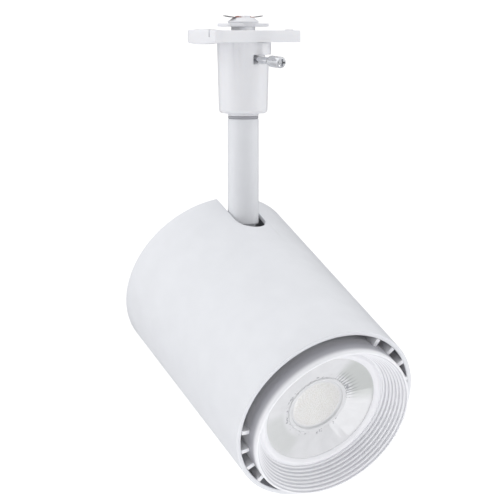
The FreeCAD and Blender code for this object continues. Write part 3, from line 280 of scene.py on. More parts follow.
def clear_lens_with_painted_reflections():
    """Moulded acrylic, a little milky: warm beads in the middle, with painted reflections of its fluted
    flank: two cool sectors, short streaks beside one of them and small dark specks."""
    body = (0.915, 0.918, 0.93)
    made, tree, shader = node_material("clear_optic", body, 0.05)
    shader.inputs["Transmission Weight"].default_value = 0.25
    shader.inputs["IOR"].default_value = 1.49
    cloud = texture(tree, "Noise", 130, Detail=3.0, Distortion=0.8).outputs["Fac"]
    ripple = texture(tree, "Noise", 60, Detail=1.0)
    vary_colour(tree, shader, cloud, shaded(body, 0.96), shaded(body, 1.03))
    vary_roughness(tree, shader, cloud, 0.03, 0.07)
    bumps(tree, shader, (ripple.outputs["Fac"], 0.02))
    own = own_place(tree)
    # Painted reflection: two sectors of the flank's reflection, a darker one and a lighter one across from it.
    bearing = math_node(tree, "ARCTAN2", own["y"], own["x"])
    upper = math_node(tree, "COSINE", math_node(tree, "SUBTRACT", bearing, REFLECTION_SECTOR_BEARING))
    lower = math_node(tree, "MULTIPLY", upper, -1.0)
    ring = within(tree, own["radius"], *REFLECTION_SECTOR_SPAN)
    for facing, tone, amount in ((upper, (0.66, 0.685, 0.66), 0.8), (lower, (0.74, 0.76, 0.74), 0.6)):
        tinted_where(made, tone, product(tree, step_between(tree, facing, 0.80, 0.93), ring, amount))
    # Painted reflection: dark streaks of the fluted flank beside the darker sector.
    wobble = math_node(tree, "MULTIPLY_ADD", cloud, REFLECTED_STREAK_WOBBLE, product(tree, bearing, REFLECTED_STREAKS))
    streaks = product(tree, within(tree, own["radius"], *REFLECTED_STREAK_SPAN),
                      step_between(tree, upper, 0.80, 0.97),
                      step_between(tree, math_node(tree, "SINE", wobble), 0.0, 1.0), 0.9)
    tinted_where(made, (0.40, 0.41, 0.42), streaks)
    # Painted reflection: small dark sparkle specks in a thin ring outside the raised ring.
    glint = texture(tree, "Noise", 620, Detail=1.0)
    specks = product(tree, within(tree, own["radius"], *GLINT_SPECK_SPAN),
                     step_between(tree, glint.outputs["Fac"], 0.60, 0.68), 0.8)
    tinted_where(made, (0.36, 0.36, 0.39), specks)
    bright = step_between(tree, own["radius"], (DOME_RADIUS + 0.2) * MM, (DOME_RADIUS - 0.1) * MM)
    tinted_where(made, (0.98, 0.97, 0.955), product(tree, bright, 0.9))
    fleck = texture(tree, "Voronoi", 1500)
    warm = product(tree, step_between(tree, fleck.outputs["Distance"], 0.35, 0.8),
                   step_between(tree, own["radius"], DOME_RADIUS * MM, (DOME_RADIUS - 1) * MM), 0.5)
    return tinted_where(made, (0.84, 0.82, 0.76), warm)


def shell_paint_with_gap_shade():
    """The powder coat, with painted shade: greyer on the tube's inner wall in the gap beside the baffle."""
    made = powder_coat("shell_powder_coat_gap_shade")
    tree = made.node_tree
    own = own_place(tree)
    # Painted shade: grey on the tube's inner wall, in the gap between it and the baffle.
    inside = step_between(tree, own["radius"], (TUBE_INNER + 0.4) * MM, (TUBE_INNER + 0.1) * MM)
    beside = within(tree, own["height"], (TUBE_LENGTH - 0.5, TUBE_LENGTH - 1.2),
                    (GAP_SHADE_FROM, GAP_SHADE_FROM + 8))
    return tinted_where(made, (0.40, 0.40, 0.42), product(tree, inside, beside))


def flank_plastic():
    """Matt white plastic, with painted shade: a grey band round its outer flank and darker feet under its steps.
    """
    made = moulded("baffle_flank_plastic", (0.88, 0.882, 0.90), 0.46, 0.008, 0.985)
    tree = made.node_tree
    own = own_place(tree)
    # Painted shade: a grey band round the outer flank, near the tube's rim, where the flank sinks into the gap.
    outside = step_between(tree, own["radius"], (BAFFLE_RADIUS - 0.3) * MM, (BAFFLE_RADIUS - 0.1) * MM)
    band = within(tree, own["height"], (LIP_FRONT - 0.8, LIP_FRONT - 4.2),
                  (LIP_FRONT - 11.5, LIP_FRONT - 6.5))
    tinted_where(made, (0.40, 0.40, 0.43), product(tree, outside, band))
    window = step_between(tree, own["radius"], (CONE_INNER - 0.3) * MM, (CONE_INNER - 0.8) * MM)
    tinted_where(made, (0.84, 0.84, 0.86), window)
    # Painted shade: darker feet at the foot of each step, where the hollows of the grooves fall into shade.
    steps = math_node(tree, "MULTIPLY_ADD", own["height"], 1 / (STEP_UP * MM), -CONE_FLOOR / STEP_UP)
    share = math_node(tree, "FRACT", steps)
    foot = product(tree, step_between(tree, share, 0.62, 0.86), step_between(tree, share, 1.0, 0.94))
    above = step_between(tree, own["height"], CONE_FLOOR * MM, (CONE_FLOOR + 0.3) * MM)
    cone = within(tree, own["radius"], (CONE_INNER - 0.6, CONE_INNER - 0.3),
                  (LIP_INNER + 0.4, LIP_INNER + 0.2))
    return tinted_where(made, (0.62, 0.62, 0.65), product(tree, foot, above, cone))


def leaf_metal():
    """Bronze leaf, reddish where it is riveted and dark grey towards its tip."""
    made = plated("contact_bronze", (0.55, 0.27, 0.22), 0.38, 0.004)
    tree = made.node_tree
    return tinted_where(made, (0.22, 0.21, 0.22),
                        step_between(tree, own_place(tree)["radius"], 4.6 * MM, 6.2 * MM))


def speckled(name, colour, other, scale, roughness):
    """A laminate, tape or gel with a visible grain of a second colour."""
    made, tree, shader = node_material(name, colour, roughness)
    grain = texture(tree, "Voronoi", scale)
    cloud = texture(tree, "Noise", scale / 6, Detail=3.0)
    vary_colour(tree, shader, grain.outputs["Distance"], colour, other, 0.2, 0.9)
    vary_roughness(tree, shader, cloud.outputs["Fac"], roughness * 0.8, roughness * 1.2)
    bumps(tree, shader, (grain.outputs["Distance"], 0.02))
    return made


LOOKS = {
    "white_paint": powder_coat("powder_coat"),
    "white_plastic": moulded("white_polycarbonate", (0.86, 0.862, 0.88), 0.30, 0.004, 0.98, 0.15),
    "baffle_plastic": moulded("matt_white_plastic", (0.80, 0.805, 0.82), 0.48, 0.008, 0.985, 0.1),
    "clear_optic": clear_lens_with_painted_reflections(),
    "chrome": plated("bright_chrome", (0.70, 0.71, 0.73), 0.07, 0.001),
    "zinc_steel": plated("zinc_plate", (0.60, 0.61, 0.63), 0.30),
    "spring_steel": plated("spring_steel", (0.42, 0.42, 0.44), 0.35),
    "contact_copper": leaf_metal(),
    "black_nylon": moulded("black_nylon", (0.035, 0.035, 0.038), 0.5),
    "grey_nylon": moulded("grey_nylon", (0.40, 0.40, 0.43), 0.45),
    "cast_sink": blasted("dark_anodised", (0.075, 0.078, 0.085)),
    "grey_pad": speckled("thermal_silicone", (0.33, 0.35, 0.38), (0.42, 0.44, 0.46), 3000, 0.8),
    "board_white": speckled("white_solder_mask", (0.80, 0.81, 0.81), (0.74, 0.75, 0.75), 1500, 0.35),
    "phosphor": speckled("phosphor_gel", (0.80, 0.72, 0.42), (0.86, 0.80, 0.55), 1800, 0.35),
    "black_plastic": moulded("black_plastic", (0.03, 0.03, 0.033), 0.5, 0.02),
    "silicone": moulded("silicone", (0.68, 0.69, 0.70), 0.45, 0.003, 0.95, 0.3),
    "board_green": speckled("green_laminate", (0.03, 0.17, 0.07), (0.05, 0.24, 0.10), 900, 0.3),
    "ferrite": blasted("ferrite", (0.09, 0.09, 0.10), 0.6),
    "winding_tape": speckled("winding_tape", (0.72, 0.55, 0.08), (0.80, 0.66, 0.16), 500, 0.35),
    "capacitor_sleeve": moulded("capacitor_sleeve", (0.05, 0.05, 0.07), 0.22, 0.002),
    "chip_epoxy": moulded("chip_epoxy", (0.03, 0.03, 0.03), 0.6, 0.02),
    "wire_sheath": moulded("wire_sheath", (0.72, 0.72, 0.70), 0.35, 0.004),
}


SLOT_OF = {part["node"]: part["material_slot"] for part in frame["record"]["subparts"]}
BODY_OF = {node: body for body, nodes in frame["record"]["behaviour"]["bodies"].items()
           for node in nodes}


def dress_cad_nodes():
    """Gives every CAD node the material of its own slot."""
    for node, slot in SLOT_OF.items():
        mesh = frame["nodes"][node].data
        mesh.materials.clear()
        mesh.materials.append(LOOKS[slot])


# ---------------------------------------------------------------- mesh helpers
def rounded(corners, steps=4):
    """An outline from (x, y, corner radius) points, with each corner made round."""
    outline = []
    for index, (x, y, size) in enumerate(corners):
        here = Vector((x, y))
        if not size:
            outline.append(here)
            continue
        back = (Vector(corners[index - 1][:2]) - here).normalized()
        ahead = (Vector(corners[(index + 1) % len(corners)][:2]) - here).normalized()
        half = back.angle(ahead) / 2
        centre = here + (back + ahead).normalized() * (size / math.sin(half))
        reach = size / math.tan(half)
        start, end = here + back * reach - centre, here + ahead * reach - centre
        for step in range(steps + 1):
            outline.append(centre + start.lerp(end, step / steps).normalized() * size)
    return outline


def round_rectangle(low_x, low_y, high_x, high_y, size, steps=4):
    """Outline of a rectangle with four round corners."""
    return rounded([(low_x, low_y, size), (high_x, low_y, size), (high_x, high_y, size),
                    (low_x, high_y, size)], steps)


def stitch(mesh, ring, following, closed=True):
    """Faces between two rows of vertices. A row of one vertex is a pole."""
    count = max(len(ring), len(following))
    for index in range(count if closed else count - 1):
        after = (index + 1) % count
        corners = [ring[index % len(ring)], ring[after % len(ring)],
                   following[after % len(following)], following[index % len(following)]]
        unique = list(dict.fromkeys(corners))
        if len(unique) > 2:
            mesh.faces.new(unique)


def lathe_into(mesh, outline, segments):
    """Revolves a closed outline of (radius, height) about Z."""
    angles = [TURN * index / segments for index in range(segments)]
    rows = []
    for radius, height in outline:
        if radius < 1e-6:
            rows.append([mesh.verts.new((0, 0, height * MM))])
            continue
        rows.append([mesh.verts.new((radius * MM * math.cos(a), radius * MM * math.sin(a), height * MM))
                     for a in angles])
    for ring, following in zip(rows, rows[1:] + rows[:1]):
        if len(ring) > 1 or len(following) > 1:
            stitch(mesh, ring, following)


def box_into(mesh, low, high, matrix=AT_ORIGIN):
    """Adds a closed box between two corners."""
    corners = [mesh.verts.new(matrix @ (Vector((x, y, z)) * MM))
               for x in (low[0], high[0]) for y in (low[1], high[1]) for z in (low[2], high[2])]
    for face in ((0, 1, 3, 2), (4, 6, 7, 5), (0, 4, 5, 1), (2, 3, 7, 6), (0, 2, 6, 4), (1, 5, 7, 3)):
        mesh.faces.new([corners[index] for index in face])


def prism_into(mesh, outline, low, high):
    """Adds an outline in x and y, carried up from one height to another."""
    bottom = [mesh.verts.new(Vector((x, y, low)) * MM) for x, y in outline]
    top = [mesh.verts.new(Vector((x, y, high)) * MM) for x, y in outline]
    stitch(mesh, bottom, top)
    mesh.faces.new(bottom)
    mesh.faces.new(top)


def shade(mesh, limit=32):
    """Smooths faces, and keeps edges sharper than the limit crisp."""
    for face in mesh.faces:
        face.smooth = True
    for edge in mesh.edges:
        edge.smooth = edge.calc_face_angle(0.0) < math.radians(limit)


def new_object(name, mesh, limit=32):
    """Turns a bmesh into an object of the scene."""
    bmesh.ops.recalc_face_normals(mesh, faces=mesh.faces)
    shade(mesh, limit)
    data = bpy.data.meshes.new(name)
    mesh.to_mesh(data)
    mesh.free()
    made = bpy.data.objects.new(name, data)
    bpy.context.scene.collection.objects.link(made)
    return made


def baked(thing):
    """Applies an object's modifiers to its mesh."""
    bpy.context.view_layer.update()
    graph = bpy.context.evaluated_depsgraph_get()
    data = bpy.data.meshes.new_from_object(thing.evaluated_get(graph))
    thing.modifiers.clear()
    thing.data = data
    return thing


def reshade(thing):
    """Shades an object afresh after its mesh has changed."""
    mesh = bmesh.new()
    mesh.from_mesh(thing.data)
    shade(mesh)
    mesh.to_mesh(thing.data)
    mesh.free()
    return thing


def bevelled(thing, width, segments=3, limit=35):
    """Rounds every edge sharper than the limit."""
    bevel = thing.modifiers.new("bevel", "BEVEL")
    bevel.width = width * MM
    bevel.segments = segments
    bevel.limit_method = "ANGLE"
    bevel.angle_limit = math.radians(limit)
    bevel.harden_normals = False
    baked(thing)
    return reshade(thing)


def carved(thing, tool, operation="DIFFERENCE"):
    """Cuts a tool out of an object, or joins the two, and deletes the tool."""
    step = thing.modifiers.new("carve", "BOOLEAN")
    step.operation = operation
    step.solver = "EXACT"
    step.object = tool
    baked(thing)
    bpy.data.objects.remove(tool)
    return reshade(thing)


def finished(thing, nodes, place=AT_ORIGIN, look=None, replace=True):
    """Puts a piece where its CAD nodes are, dresses it and lets it ride with their body."""
    nodes = [nodes] if isinstance(nodes, str) else nodes
    slot = SLOT_OF[nodes[0]]
    thing.data.materials.clear()
    thing.data.materials.append(look or LOOKS[slot])
    thing.matrix_world = place
    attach(thing, BODY_OF[nodes[0]])
    if replace:
        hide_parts(*nodes)
    return thing


def turned_piece(name, outline, nodes, place=AT_ORIGIN, segments=MEDIUM):
    """A lathe-turned piece that stands for a CAD node."""
    mesh = bmesh.new()
    lathe_into(mesh, outline, segments)
    return finished(new_object(name, mesh), nodes, place)


# ---------------------------------------------------------------- head: shell
SLOT_COLUMNS, AROUND_COLUMNS, TUBE_ROWS = 25, 200, 8


def tube_columns():
    """Where the housing's columns of vertices stand: slot columns by their x, others by a share
    of the way round from the slot's edge."""
    slot = [("slot", -math.cos(math.pi * step / (SLOT_COLUMNS - 1))) for step in range(SLOT_COLUMNS)]
    around = [("around", step / AROUND_COLUMNS) for step in range(1, AROUND_COLUMNS)]
    return slot + around


def column_angle(column, radius):
    """Bearing from the slot's middle, clockwise seen from the front."""
    kind, share = column
    edge = math.asin(SLOT_HALF / radius)
    if kind == "slot":
        return math.asin(SLOT_HALF * share / radius)
    return edge + share * (TURN - 2 * edge)


def tube_skin(mesh, columns, radius):
    """One wall of the tube. Returns its columns in front of the slot's end and those beside it."""
    front, rear = [], []
    for index, column in enumerate(columns):
        angle = column_angle(column, radius)
        kind, share = column
        foot = SLOT_CENTRE
        if kind == "slot":
            foot += SLOT_HALF * math.sqrt(max(0.0, 1 - share * share))
        spot = Vector((math.sin(angle), math.cos(angle), 0)) * radius
        heights = [foot + (TUBE_END - foot) * (step / TUBE_ROWS) for step in range(TUBE_ROWS + 1)]
        front.append([mesh.verts.new((spot + Vector((0, 0, z))) * MM) for z in heights])
        beside = [] if 0 < index < SLOT_COLUMNS - 1 else [0, SLOT_CENTRE / 2]
        rear.append([mesh.verts.new((spot + Vector((0, 0, z))) * MM) for z in beside] + front[-1][:1])
    for index in range(len(columns)):
        after = (index + 1) % len(columns)
        stitch(mesh, front[index], front[after], closed=False)
        if index >= SLOT_COLUMNS - 1:
            stitch(mesh, rear[index], rear[after], closed=False)
    return front, rear


def housing():
    """Tube with an open slot at its rear, every rim softly rounded. Its front ends a little short,
    so that the small rounding stays inside the larger chamfer of the CAD rim."""
    mesh = bmesh.new()
    columns = tube_columns()
    outer_front, outer_rear = tube_skin(mesh, columns, TUBE_RADIUS)
    inner_front, inner_rear = tube_skin(mesh, columns, TUBE_INNER)
    for index in range(len(columns)):
        after = (index + 1) % len(columns)
        mesh.faces.new([outer_front[index][-1], outer_front[after][-1],
                        inner_front[after][-1], inner_front[index][-1]])
        outer, inner = outer_front, inner_front
        if index >= SLOT_COLUMNS - 1:
            outer, inner = outer_rear, inner_rear
        mesh.faces.new([outer[index][0], outer[after][0], inner[after][0], inner[index][0]])
    for index in (0, SLOT_COLUMNS - 1):
        stitch(mesh, outer_rear[index], inner_rear[index], closed=False)
    shell = bevelled(new_object("housing_shell", mesh), 0.45, 4)
    return finished(shell, "housing", HEAD, shell_paint_with_gap_shade())


# ---------------------------------------------------------------- head: rear cover
COVER_RADIUS, COVER_INSET, COVER_THICK = 42.4, 2.0, 2.5
NOTCH_HALF, NOTCH_FLOOR = 8.2, 23.5
LOUVRES, LOUVRE_PITCH, LOUVRE_HALF, LOUVRE_TALL = 5, 6.0, 20.0, 2.0
COVER_SCREWS = (-35, -12), (35, -12), (0, -36.5), (-24, 28), (24, 28)
SCREW_HOLE, SCREW_END, SCREW_HEAD = 1.6, 42.2, 2.75


def rear_cover():
    """Recessed cover with round-ended louvres, a notch for the stem and holes for its screws."""
    mesh = bmesh.new()
    rear, front = COVER_INSET, COVER_INSET + COVER_THICK
    lathe_into(mesh, rounded([(0, rear, 0), (COVER_RADIUS, rear, 0.5), (COVER_RADIUS, front, 0.2),
                              (0, front, 0)]), FINE)
    cover = new_object("rear_cover_disc", mesh)
    tools = bmesh.new()
    top = COVER_RADIUS + 1
    prism_into(tools, rounded([(-NOTCH_HALF, NOTCH_FLOOR, 1.2), (NOTCH_HALF, NOTCH_FLOOR, 1.2),
                               (NOTCH_HALF, top, 0), (-NOTCH_HALF, top, 0)]), rear - 1, front + 1)
    for row in range(LOUVRES):
        low = -LOUVRE_PITCH * row - LOUVRE_TALL
        high = low + LOUVRE_TALL
        end = LOUVRE_TALL / 2 - 0.02
        prism_into(tools, round_rectangle(-LOUVRE_HALF, low, LOUVRE_HALF, high, end, 6),
                   rear - 1, front + 1)
    angles = [TURN * step / 32 for step in range(32)]
    for x, y in COVER_SCREWS:
        circle = [(x + SCREW_HOLE * math.cos(a), y + SCREW_HOLE * math.sin(a)) for a in angles]
        prism_into(tools, circle, rear - 1, front + 1)
    carved(cover, new_object("cover_tools", tools))
    return finished(bevelled(cover, 0.2, 2, 50), "rear_cover", HEAD)


def cross_recess(thing, reach, half, low, high):
    """Cuts a cross recess in the middle of a head, one slot after the other."""
    for x, y in ((half, reach), (reach, half)):
        slot = bmesh.new()
        box_into(slot, (-x, -y, low), (x, y, high))
        carved(thing, new_object("cross_tool", slot))


def rear_cover_screws():
    """Five pan-head screws with a cross recess."""
    mesh = bmesh.new()
    lathe_into(mesh, rounded([
        (0, SCREW_END, 0), (1.5, SCREW_END, 0.3), (1.5, COVER_INSET, 0), (SCREW_HEAD, COVER_INSET, 0.15),
        (SCREW_HEAD, 1.2, 0.3), (2.0, 0.55, 0.6), (0, 0.5, 0)]), 48)
    screw = new_object("cover_screw", mesh)
    cross_recess(screw, 1.35, 0.3, -1, 1.4)
    row = bmesh.new()
    for index, (x, y) in enumerate(COVER_SCREWS):
        copy = screw.data.copy()
        copy.transform(Matrix.Translation(Vector((x, y, 0)) * MM) @ Matrix.Rotation(index * 0.7, 4, "Z"))
        row.from_mesh(copy)
    bpy.data.objects.remove(screw)
    return finished(new_object("rear_cover_screw_set", row), "rear_cover_screws", HEAD)


# ---------------------------------------------------------------- head: front
RIB_PITCH, RIB_ROW, RIB_THICK, RIB_FRONT, RIB_RADIUS = 15.0, 4, 2.2, 116.45, 42.7
RIB_ROW_STARTS = (22.5, 187.5)
WINDOW_RADIUS = 27.6


def baffle_outline():
    """Section of the baffle: window ring, stepped cone, rounded lip and outer wall."""
    corners = [(WINDOW_RADIUS, LENS_FRONT + 0.03, 0), (WINDOW_RADIUS + 0.1, LENS_FRONT + 0.25, 0.1),
               (WINDOW_RADIUS + 1.7, CONE_FLOOR + 0.95, 1.5), (CONE_INNER - 1.2, CONE_FLOOR + 0.75, 1.2),
               (CONE_INNER, CONE_FLOOR - 0.1, 0.12)]
    for index in range(STEPS):
        radius, height = CONE_INNER + STEP_OUT * index, CONE_FLOOR + STEP_UP * index
        corners.append((radius - 0.05, height + STEP_UP * 0.60, 0.18))
        corners.append((radius + STEP_OUT + 0.16, height + STEP_UP * 0.90, 0.06))
    corners += [(LIP_INNER + 0.1, LIP_FRONT, 0.2), (BAFFLE_RADIUS, LIP_FRONT, 0.68),
                (BAFFLE_RADIUS, BAFFLE_REAR, 0.2), (BAFFLE_RADIUS - 1.5, BAFFLE_REAR, 0.2),
                (BAFFLE_RADIUS - 1.5, LIP_FRONT - 5.5, 1.0), (CONE_INNER + 1.1, CONE_FLOOR - 1.5, 0.4),
                (LENS_RADIUS + 1.9, CONE_FLOOR - 1.9, 0.2), (LENS_RADIUS + 1.9, LENS_FRONT + 0.03, 0.1)]
    return rounded(corners, 3)


def baffle():
    """Stepped front baffle, and the two rows of ribs that centre it in the tube."""
    mesh = bmesh.new()
    lathe_into(mesh, baffle_outline(), FINE)
    shell = finished(new_object("baffle_shell", mesh), "baffle", HEAD, flank_plastic())
    mesh = bmesh.new()
    half = RIB_THICK / 2
    for index in range(2 * RIB_ROW):
        row, place = divmod(index, RIB_ROW)
        bearing = Matrix.Rotation(math.radians(RIB_ROW_STARTS[row] + RIB_PITCH * place), 4, "Z")
        box_into(mesh, (BAFFLE_RADIUS - 0.5, -half, BAFFLE_REAR), (RIB_RADIUS, half, RIB_FRONT), bearing)
    ribs = bevelled(new_object("baffle_ribs", mesh), 0.15, 2)
    return shell, finished(ribs, "baffle", HEAD, LOOKS["white_plastic"], replace=False)


BEAD_COUNT, BEAD_RADIUS, BEAD_RISE = 300, 0.66, 0.3
FLUTES, FLUTE_DEPTH = 36, 0.35
FLANGE_REAR, THROAT_RADIUS, THROAT_REAR, FLANK_OUT, FLANK_UP = 109.8, 13.6, 99.7, 12.9, 9.4
DOME_STEPS, DOME_STEP = 34, 0.35


def bead_pattern():
    """Bead centres in a sunflower spiral over the dome."""
    golden = math.pi * (3 - math.sqrt(5))
    tree = KDTree(BEAD_COUNT)
    for index in range(BEAD_COUNT):
        radius = (DOME_RADIUS - 0.9) * math.sqrt((index + 0.5) / BEAD_COUNT)
        tree.insert((radius * math.cos(golden * index), radius * math.sin(golden * index), 0), index)
    tree.balance()
    return tree


def dome_height(radius):
    """Height of the dome without its beads."""
    share = min(1.0, radius / DOME_RADIUS)
    return DISH_FLOOR - 0.25 + DOME_RISE * (1 - share * share)


def lens_flank(steps=16):
    """The reflecting flank from the throat up to the flange."""
    return [(THROAT_RADIUS + FLANK_OUT * (step / steps) ** 0.72,
             THROAT_REAR + FLANK_UP * (step / steps) ** 1.25) for step in range(steps + 1)]


def lens():
    """Collimating lens: dished front with a beaded dome inside a raised ring, fluted flank."""
    mesh = bmesh.new()
    dome = [(DOME_STEP * step, dome_height(DOME_STEP * step)) for step in range(DOME_STEPS, -1, -1)]
    outline = [(0, 103.2), (4, 103.1), (7, 102.8), (8.6, 102.3), (9.5, THROAT_REAR)] + lens_flank()
    outline += [(28.2, FLANGE_REAR), (LENS_RADIUS, FLANGE_REAR), (LENS_RADIUS, LENS_FRONT),
                (27.2, LENS_FRONT), (26.6, LENS_FRONT - 0.12)]
    outline += rounded([(15.3, DISH_FLOOR + 0.35, 0), (14.9, DISH_FLOOR + 0.95, 0.3),
                        (13.2, DISH_FLOOR + 0.75, 0.3), (12.8, DISH_FLOOR - 0.3, 0.2),
                        (12.2, DISH_FLOOR - 0.3, 0)], 3)
    lathe_into(mesh, outline + dome, FINE)
    beads = bead_pattern()
    for vertex in mesh.verts:
        flat = Vector((vertex.co.x, vertex.co.y, 0)) / MM
        height = vertex.co.z / MM
        if flat.length < DOME_RADIUS and height > DISH_FLOOR - 0.3:
            gap = beads.find(flat)[2] / BEAD_RADIUS
            vertex.co.z += BEAD_RISE * max(0.0, 1 - gap * gap) * MM
        elif THROAT_RADIUS + 0.6 < flat.length < 27 and height < FLANGE_REAR - 0.5:
            bearing = math.atan2(flat.y, flat.x)
            grow = 1 - FLUTE_DEPTH * abs(math.sin(bearing * FLUTES / 2)) / flat.length
            vertex.co.x *= grow
            vertex.co.y *= grow
    return finished(new_object("lens_moulding", mesh, 50), "lens", HEAD)


SKIRT_RADIUS, SKIRT_WALL, SKIRT_FRONT, SEAT = 37.4, 1.5, 109.0, 94.05


def optic_carrier():
    """White reflector ring that backs the lens and takes the baffle."""
    inner = SKIRT_RADIUS - SKIRT_WALL
    cup = [(radius + 0.5, height - 0.25) for radius, height in lens_flank(10)[1:]]
    turned_piece("optic_carrier_cup", rounded([
        (20.5, SEAT, 0.2), (SKIRT_RADIUS, SEAT, 0.3), (SKIRT_RADIUS, SKIRT_FRONT, 0.3),
        (inner, SKIRT_FRONT, 0.3), (inner, SEAT + 8, 0.8), (28.6, 107.6, 0.4), (28.0, 109.4, 0.1)], 3)
        + [Vector(spot) for spot in reversed(cup)] + [Vector((14.2, 98.9)), Vector((20.5, SEAT + 2.6))],
        "optic_carrier", HEAD, FINE)


# ---------------------------------------------------------------- stem and adapter
COLLAR_THICK, WASHER_THICK, FACE_GAP = 1.2, 1.35, 0.05
STEM_LIFT, STEM_BORE, SWIVEL_BORE = 8.6, 6.1, 5.0     # STEM_LIFT is from the hinge up to the tube


def stem():
    """Straight tube with softened ends, and the two rings of the swivel above it."""
    low = HINGE.z / MM + STEM_LIFT
    collar_low = -BODY_BOTTOM - COLLAR_THICK
    washer_low = collar_low - WASHER_THICK
    top = washer_low - FACE_GAP
    turned_piece("stem_tube_steel", rounded([
        (STEM_BORE, low, 0.2), (STEM_RADIUS, low, 0.4),
        (STEM_RADIUS, top, 0.4), (STEM_BORE, top, 0.2)]), "stem_tube", segments=128)
    turned_piece("pan_collar_ring", rounded([
        (SWIVEL_BORE, collar_low, 0.1), (STEM_RADIUS, collar_low, 0.3),
        (STEM_RADIUS, -BODY_BOTTOM, 0.2), (SWIVEL_BORE, -BODY_BOTTOM, 0.1)]), "pan_collar")
    turned_piece("friction_washer_ring", rounded([
        (SWIVEL_BORE, washer_low, 0.1), (STEM_RADIUS - 0.15, washer_low, 0.45),
        (STEM_RADIUS - 0.15, collar_low, 0.45), (SWIVEL_BORE, collar_low, 0.1)]), "pan_friction_washer")


DRUM_ROOM, BODY_TOP, BODY_LOW = 10.6, 12.3, 11.4
DRUM_SHELF, WELL_RADIUS, WELL_FLOOR = 24.0, 9.0, 35.4
GUARD_RADIUS, GUARD_DROP, GUARD_START, GUARD_SWEEP = 13.1, 11.4, -90.0, 104.0
WINDOW_DROP, WINDOW_START, WINDOW_SWEEP = 15.8, -98.0, 113.0
SLICE_STEPS = 60


def sector(inner, outer, start, sweep, blend_from=None):
    """Outline of a slice of a ring, in degrees. Its outer edge may climb from a smaller radius
    at both ends of the slice."""
    far, near = [], []
    for step in range(SLICE_STEPS + 1):
        share = step / SLICE_STEPS
        bearing = math.radians(start + sweep * share)
        swell = min(1.0, min(share, 1 - share) / 0.16)
        radius = outer if blend_from is None else blend_from + (outer - blend_from) * swell ** 1.5
        far.append((radius * math.cos(bearing), radius * math.sin(bearing)))
        near.append((inner * math.cos(bearing), inner * math.sin(bearing)))
    return far + near[::-1]


def adapter_body():
    """Tapered shell with a guard over the lever's window, every edge softened."""
    mesh = bmesh.new()
    lathe_into(mesh, rounded([
        (DRUM_ROOM, -PLATE_THICK, 0), (BODY_TOP, -PLATE_THICK, 0), (BODY_LOW, -BODY_BOTTOM, 1.8),
        (SWIVEL_BORE, -BODY_BOTTOM, 0), (SWIVEL_BORE, -WELL_FLOOR, 0), (WELL_RADIUS, -WELL_FLOOR, 0),
        (WELL_RADIUS, -DRUM_SHELF, 0), (DRUM_ROOM, -DRUM_SHELF, 0)], 6), 128)
    body = new_object("adapter_body_shell", mesh)
    guard = bmesh.new()
    outline = sector(DRUM_ROOM + 0.4, GUARD_RADIUS, GUARD_START - 4, GUARD_SWEEP + 4, BODY_TOP - 0.2)
    prism_into(guard, outline, -GUARD_DROP, -PLATE_THICK)
    guard = bevelled(new_object("guard", guard), 0.7, 4, 50)
    carved(body, guard, operation="UNION")
    window = bmesh.new()
    prism_into(window, sector(9.5, 16.0, WINDOW_START, WINDOW_SWEEP), -WINDOW_DROP, -GUARD_DROP)
    carved(body, new_object("window", window))
    return finished(bevelled(body, 0.22, 2, 50), "adapter_body")


PLATE_LENGTH, PLATE_WIDTH, GRIP_DEPTH = 47.0, 28.0, 3.0
GRIP_BULGE, GRIP_RISE, GRIP_CORNER = 0.6, 0.5, 4.5
GRIP_ROWS = 48
SLIT_WIDTH, SLIT_DEPTH, SLIT_OFFSET = 0.9, 3.6, 9.0
COLLAR_BORE, COLLAR_RADIUS, COLLAR_DROP, PLATE_BORE = 9.2, 10.5, 3.4, 5.71


def grip_section(y):
    """Outer x, top and bottom of the end grip at one place along the end."""
    half = PLATE_WIDTH / 2
    swell = math.cos(math.pi * y / (2 * half))
    outer = PLATE_LENGTH / 2 + GRIP_BULGE * swell
    into_corner = max(0.0, (y - (half - GRIP_CORNER)) / GRIP_CORNER)
    outer -= 0.62 * GRIP_CORNER * (1 - math.sqrt(max(0.0, 1 - into_corner ** 2)))
    return -outer, GRIP_RISE * swell, -PLATE_THICK - 1.8 * GRIP_RISE * swell


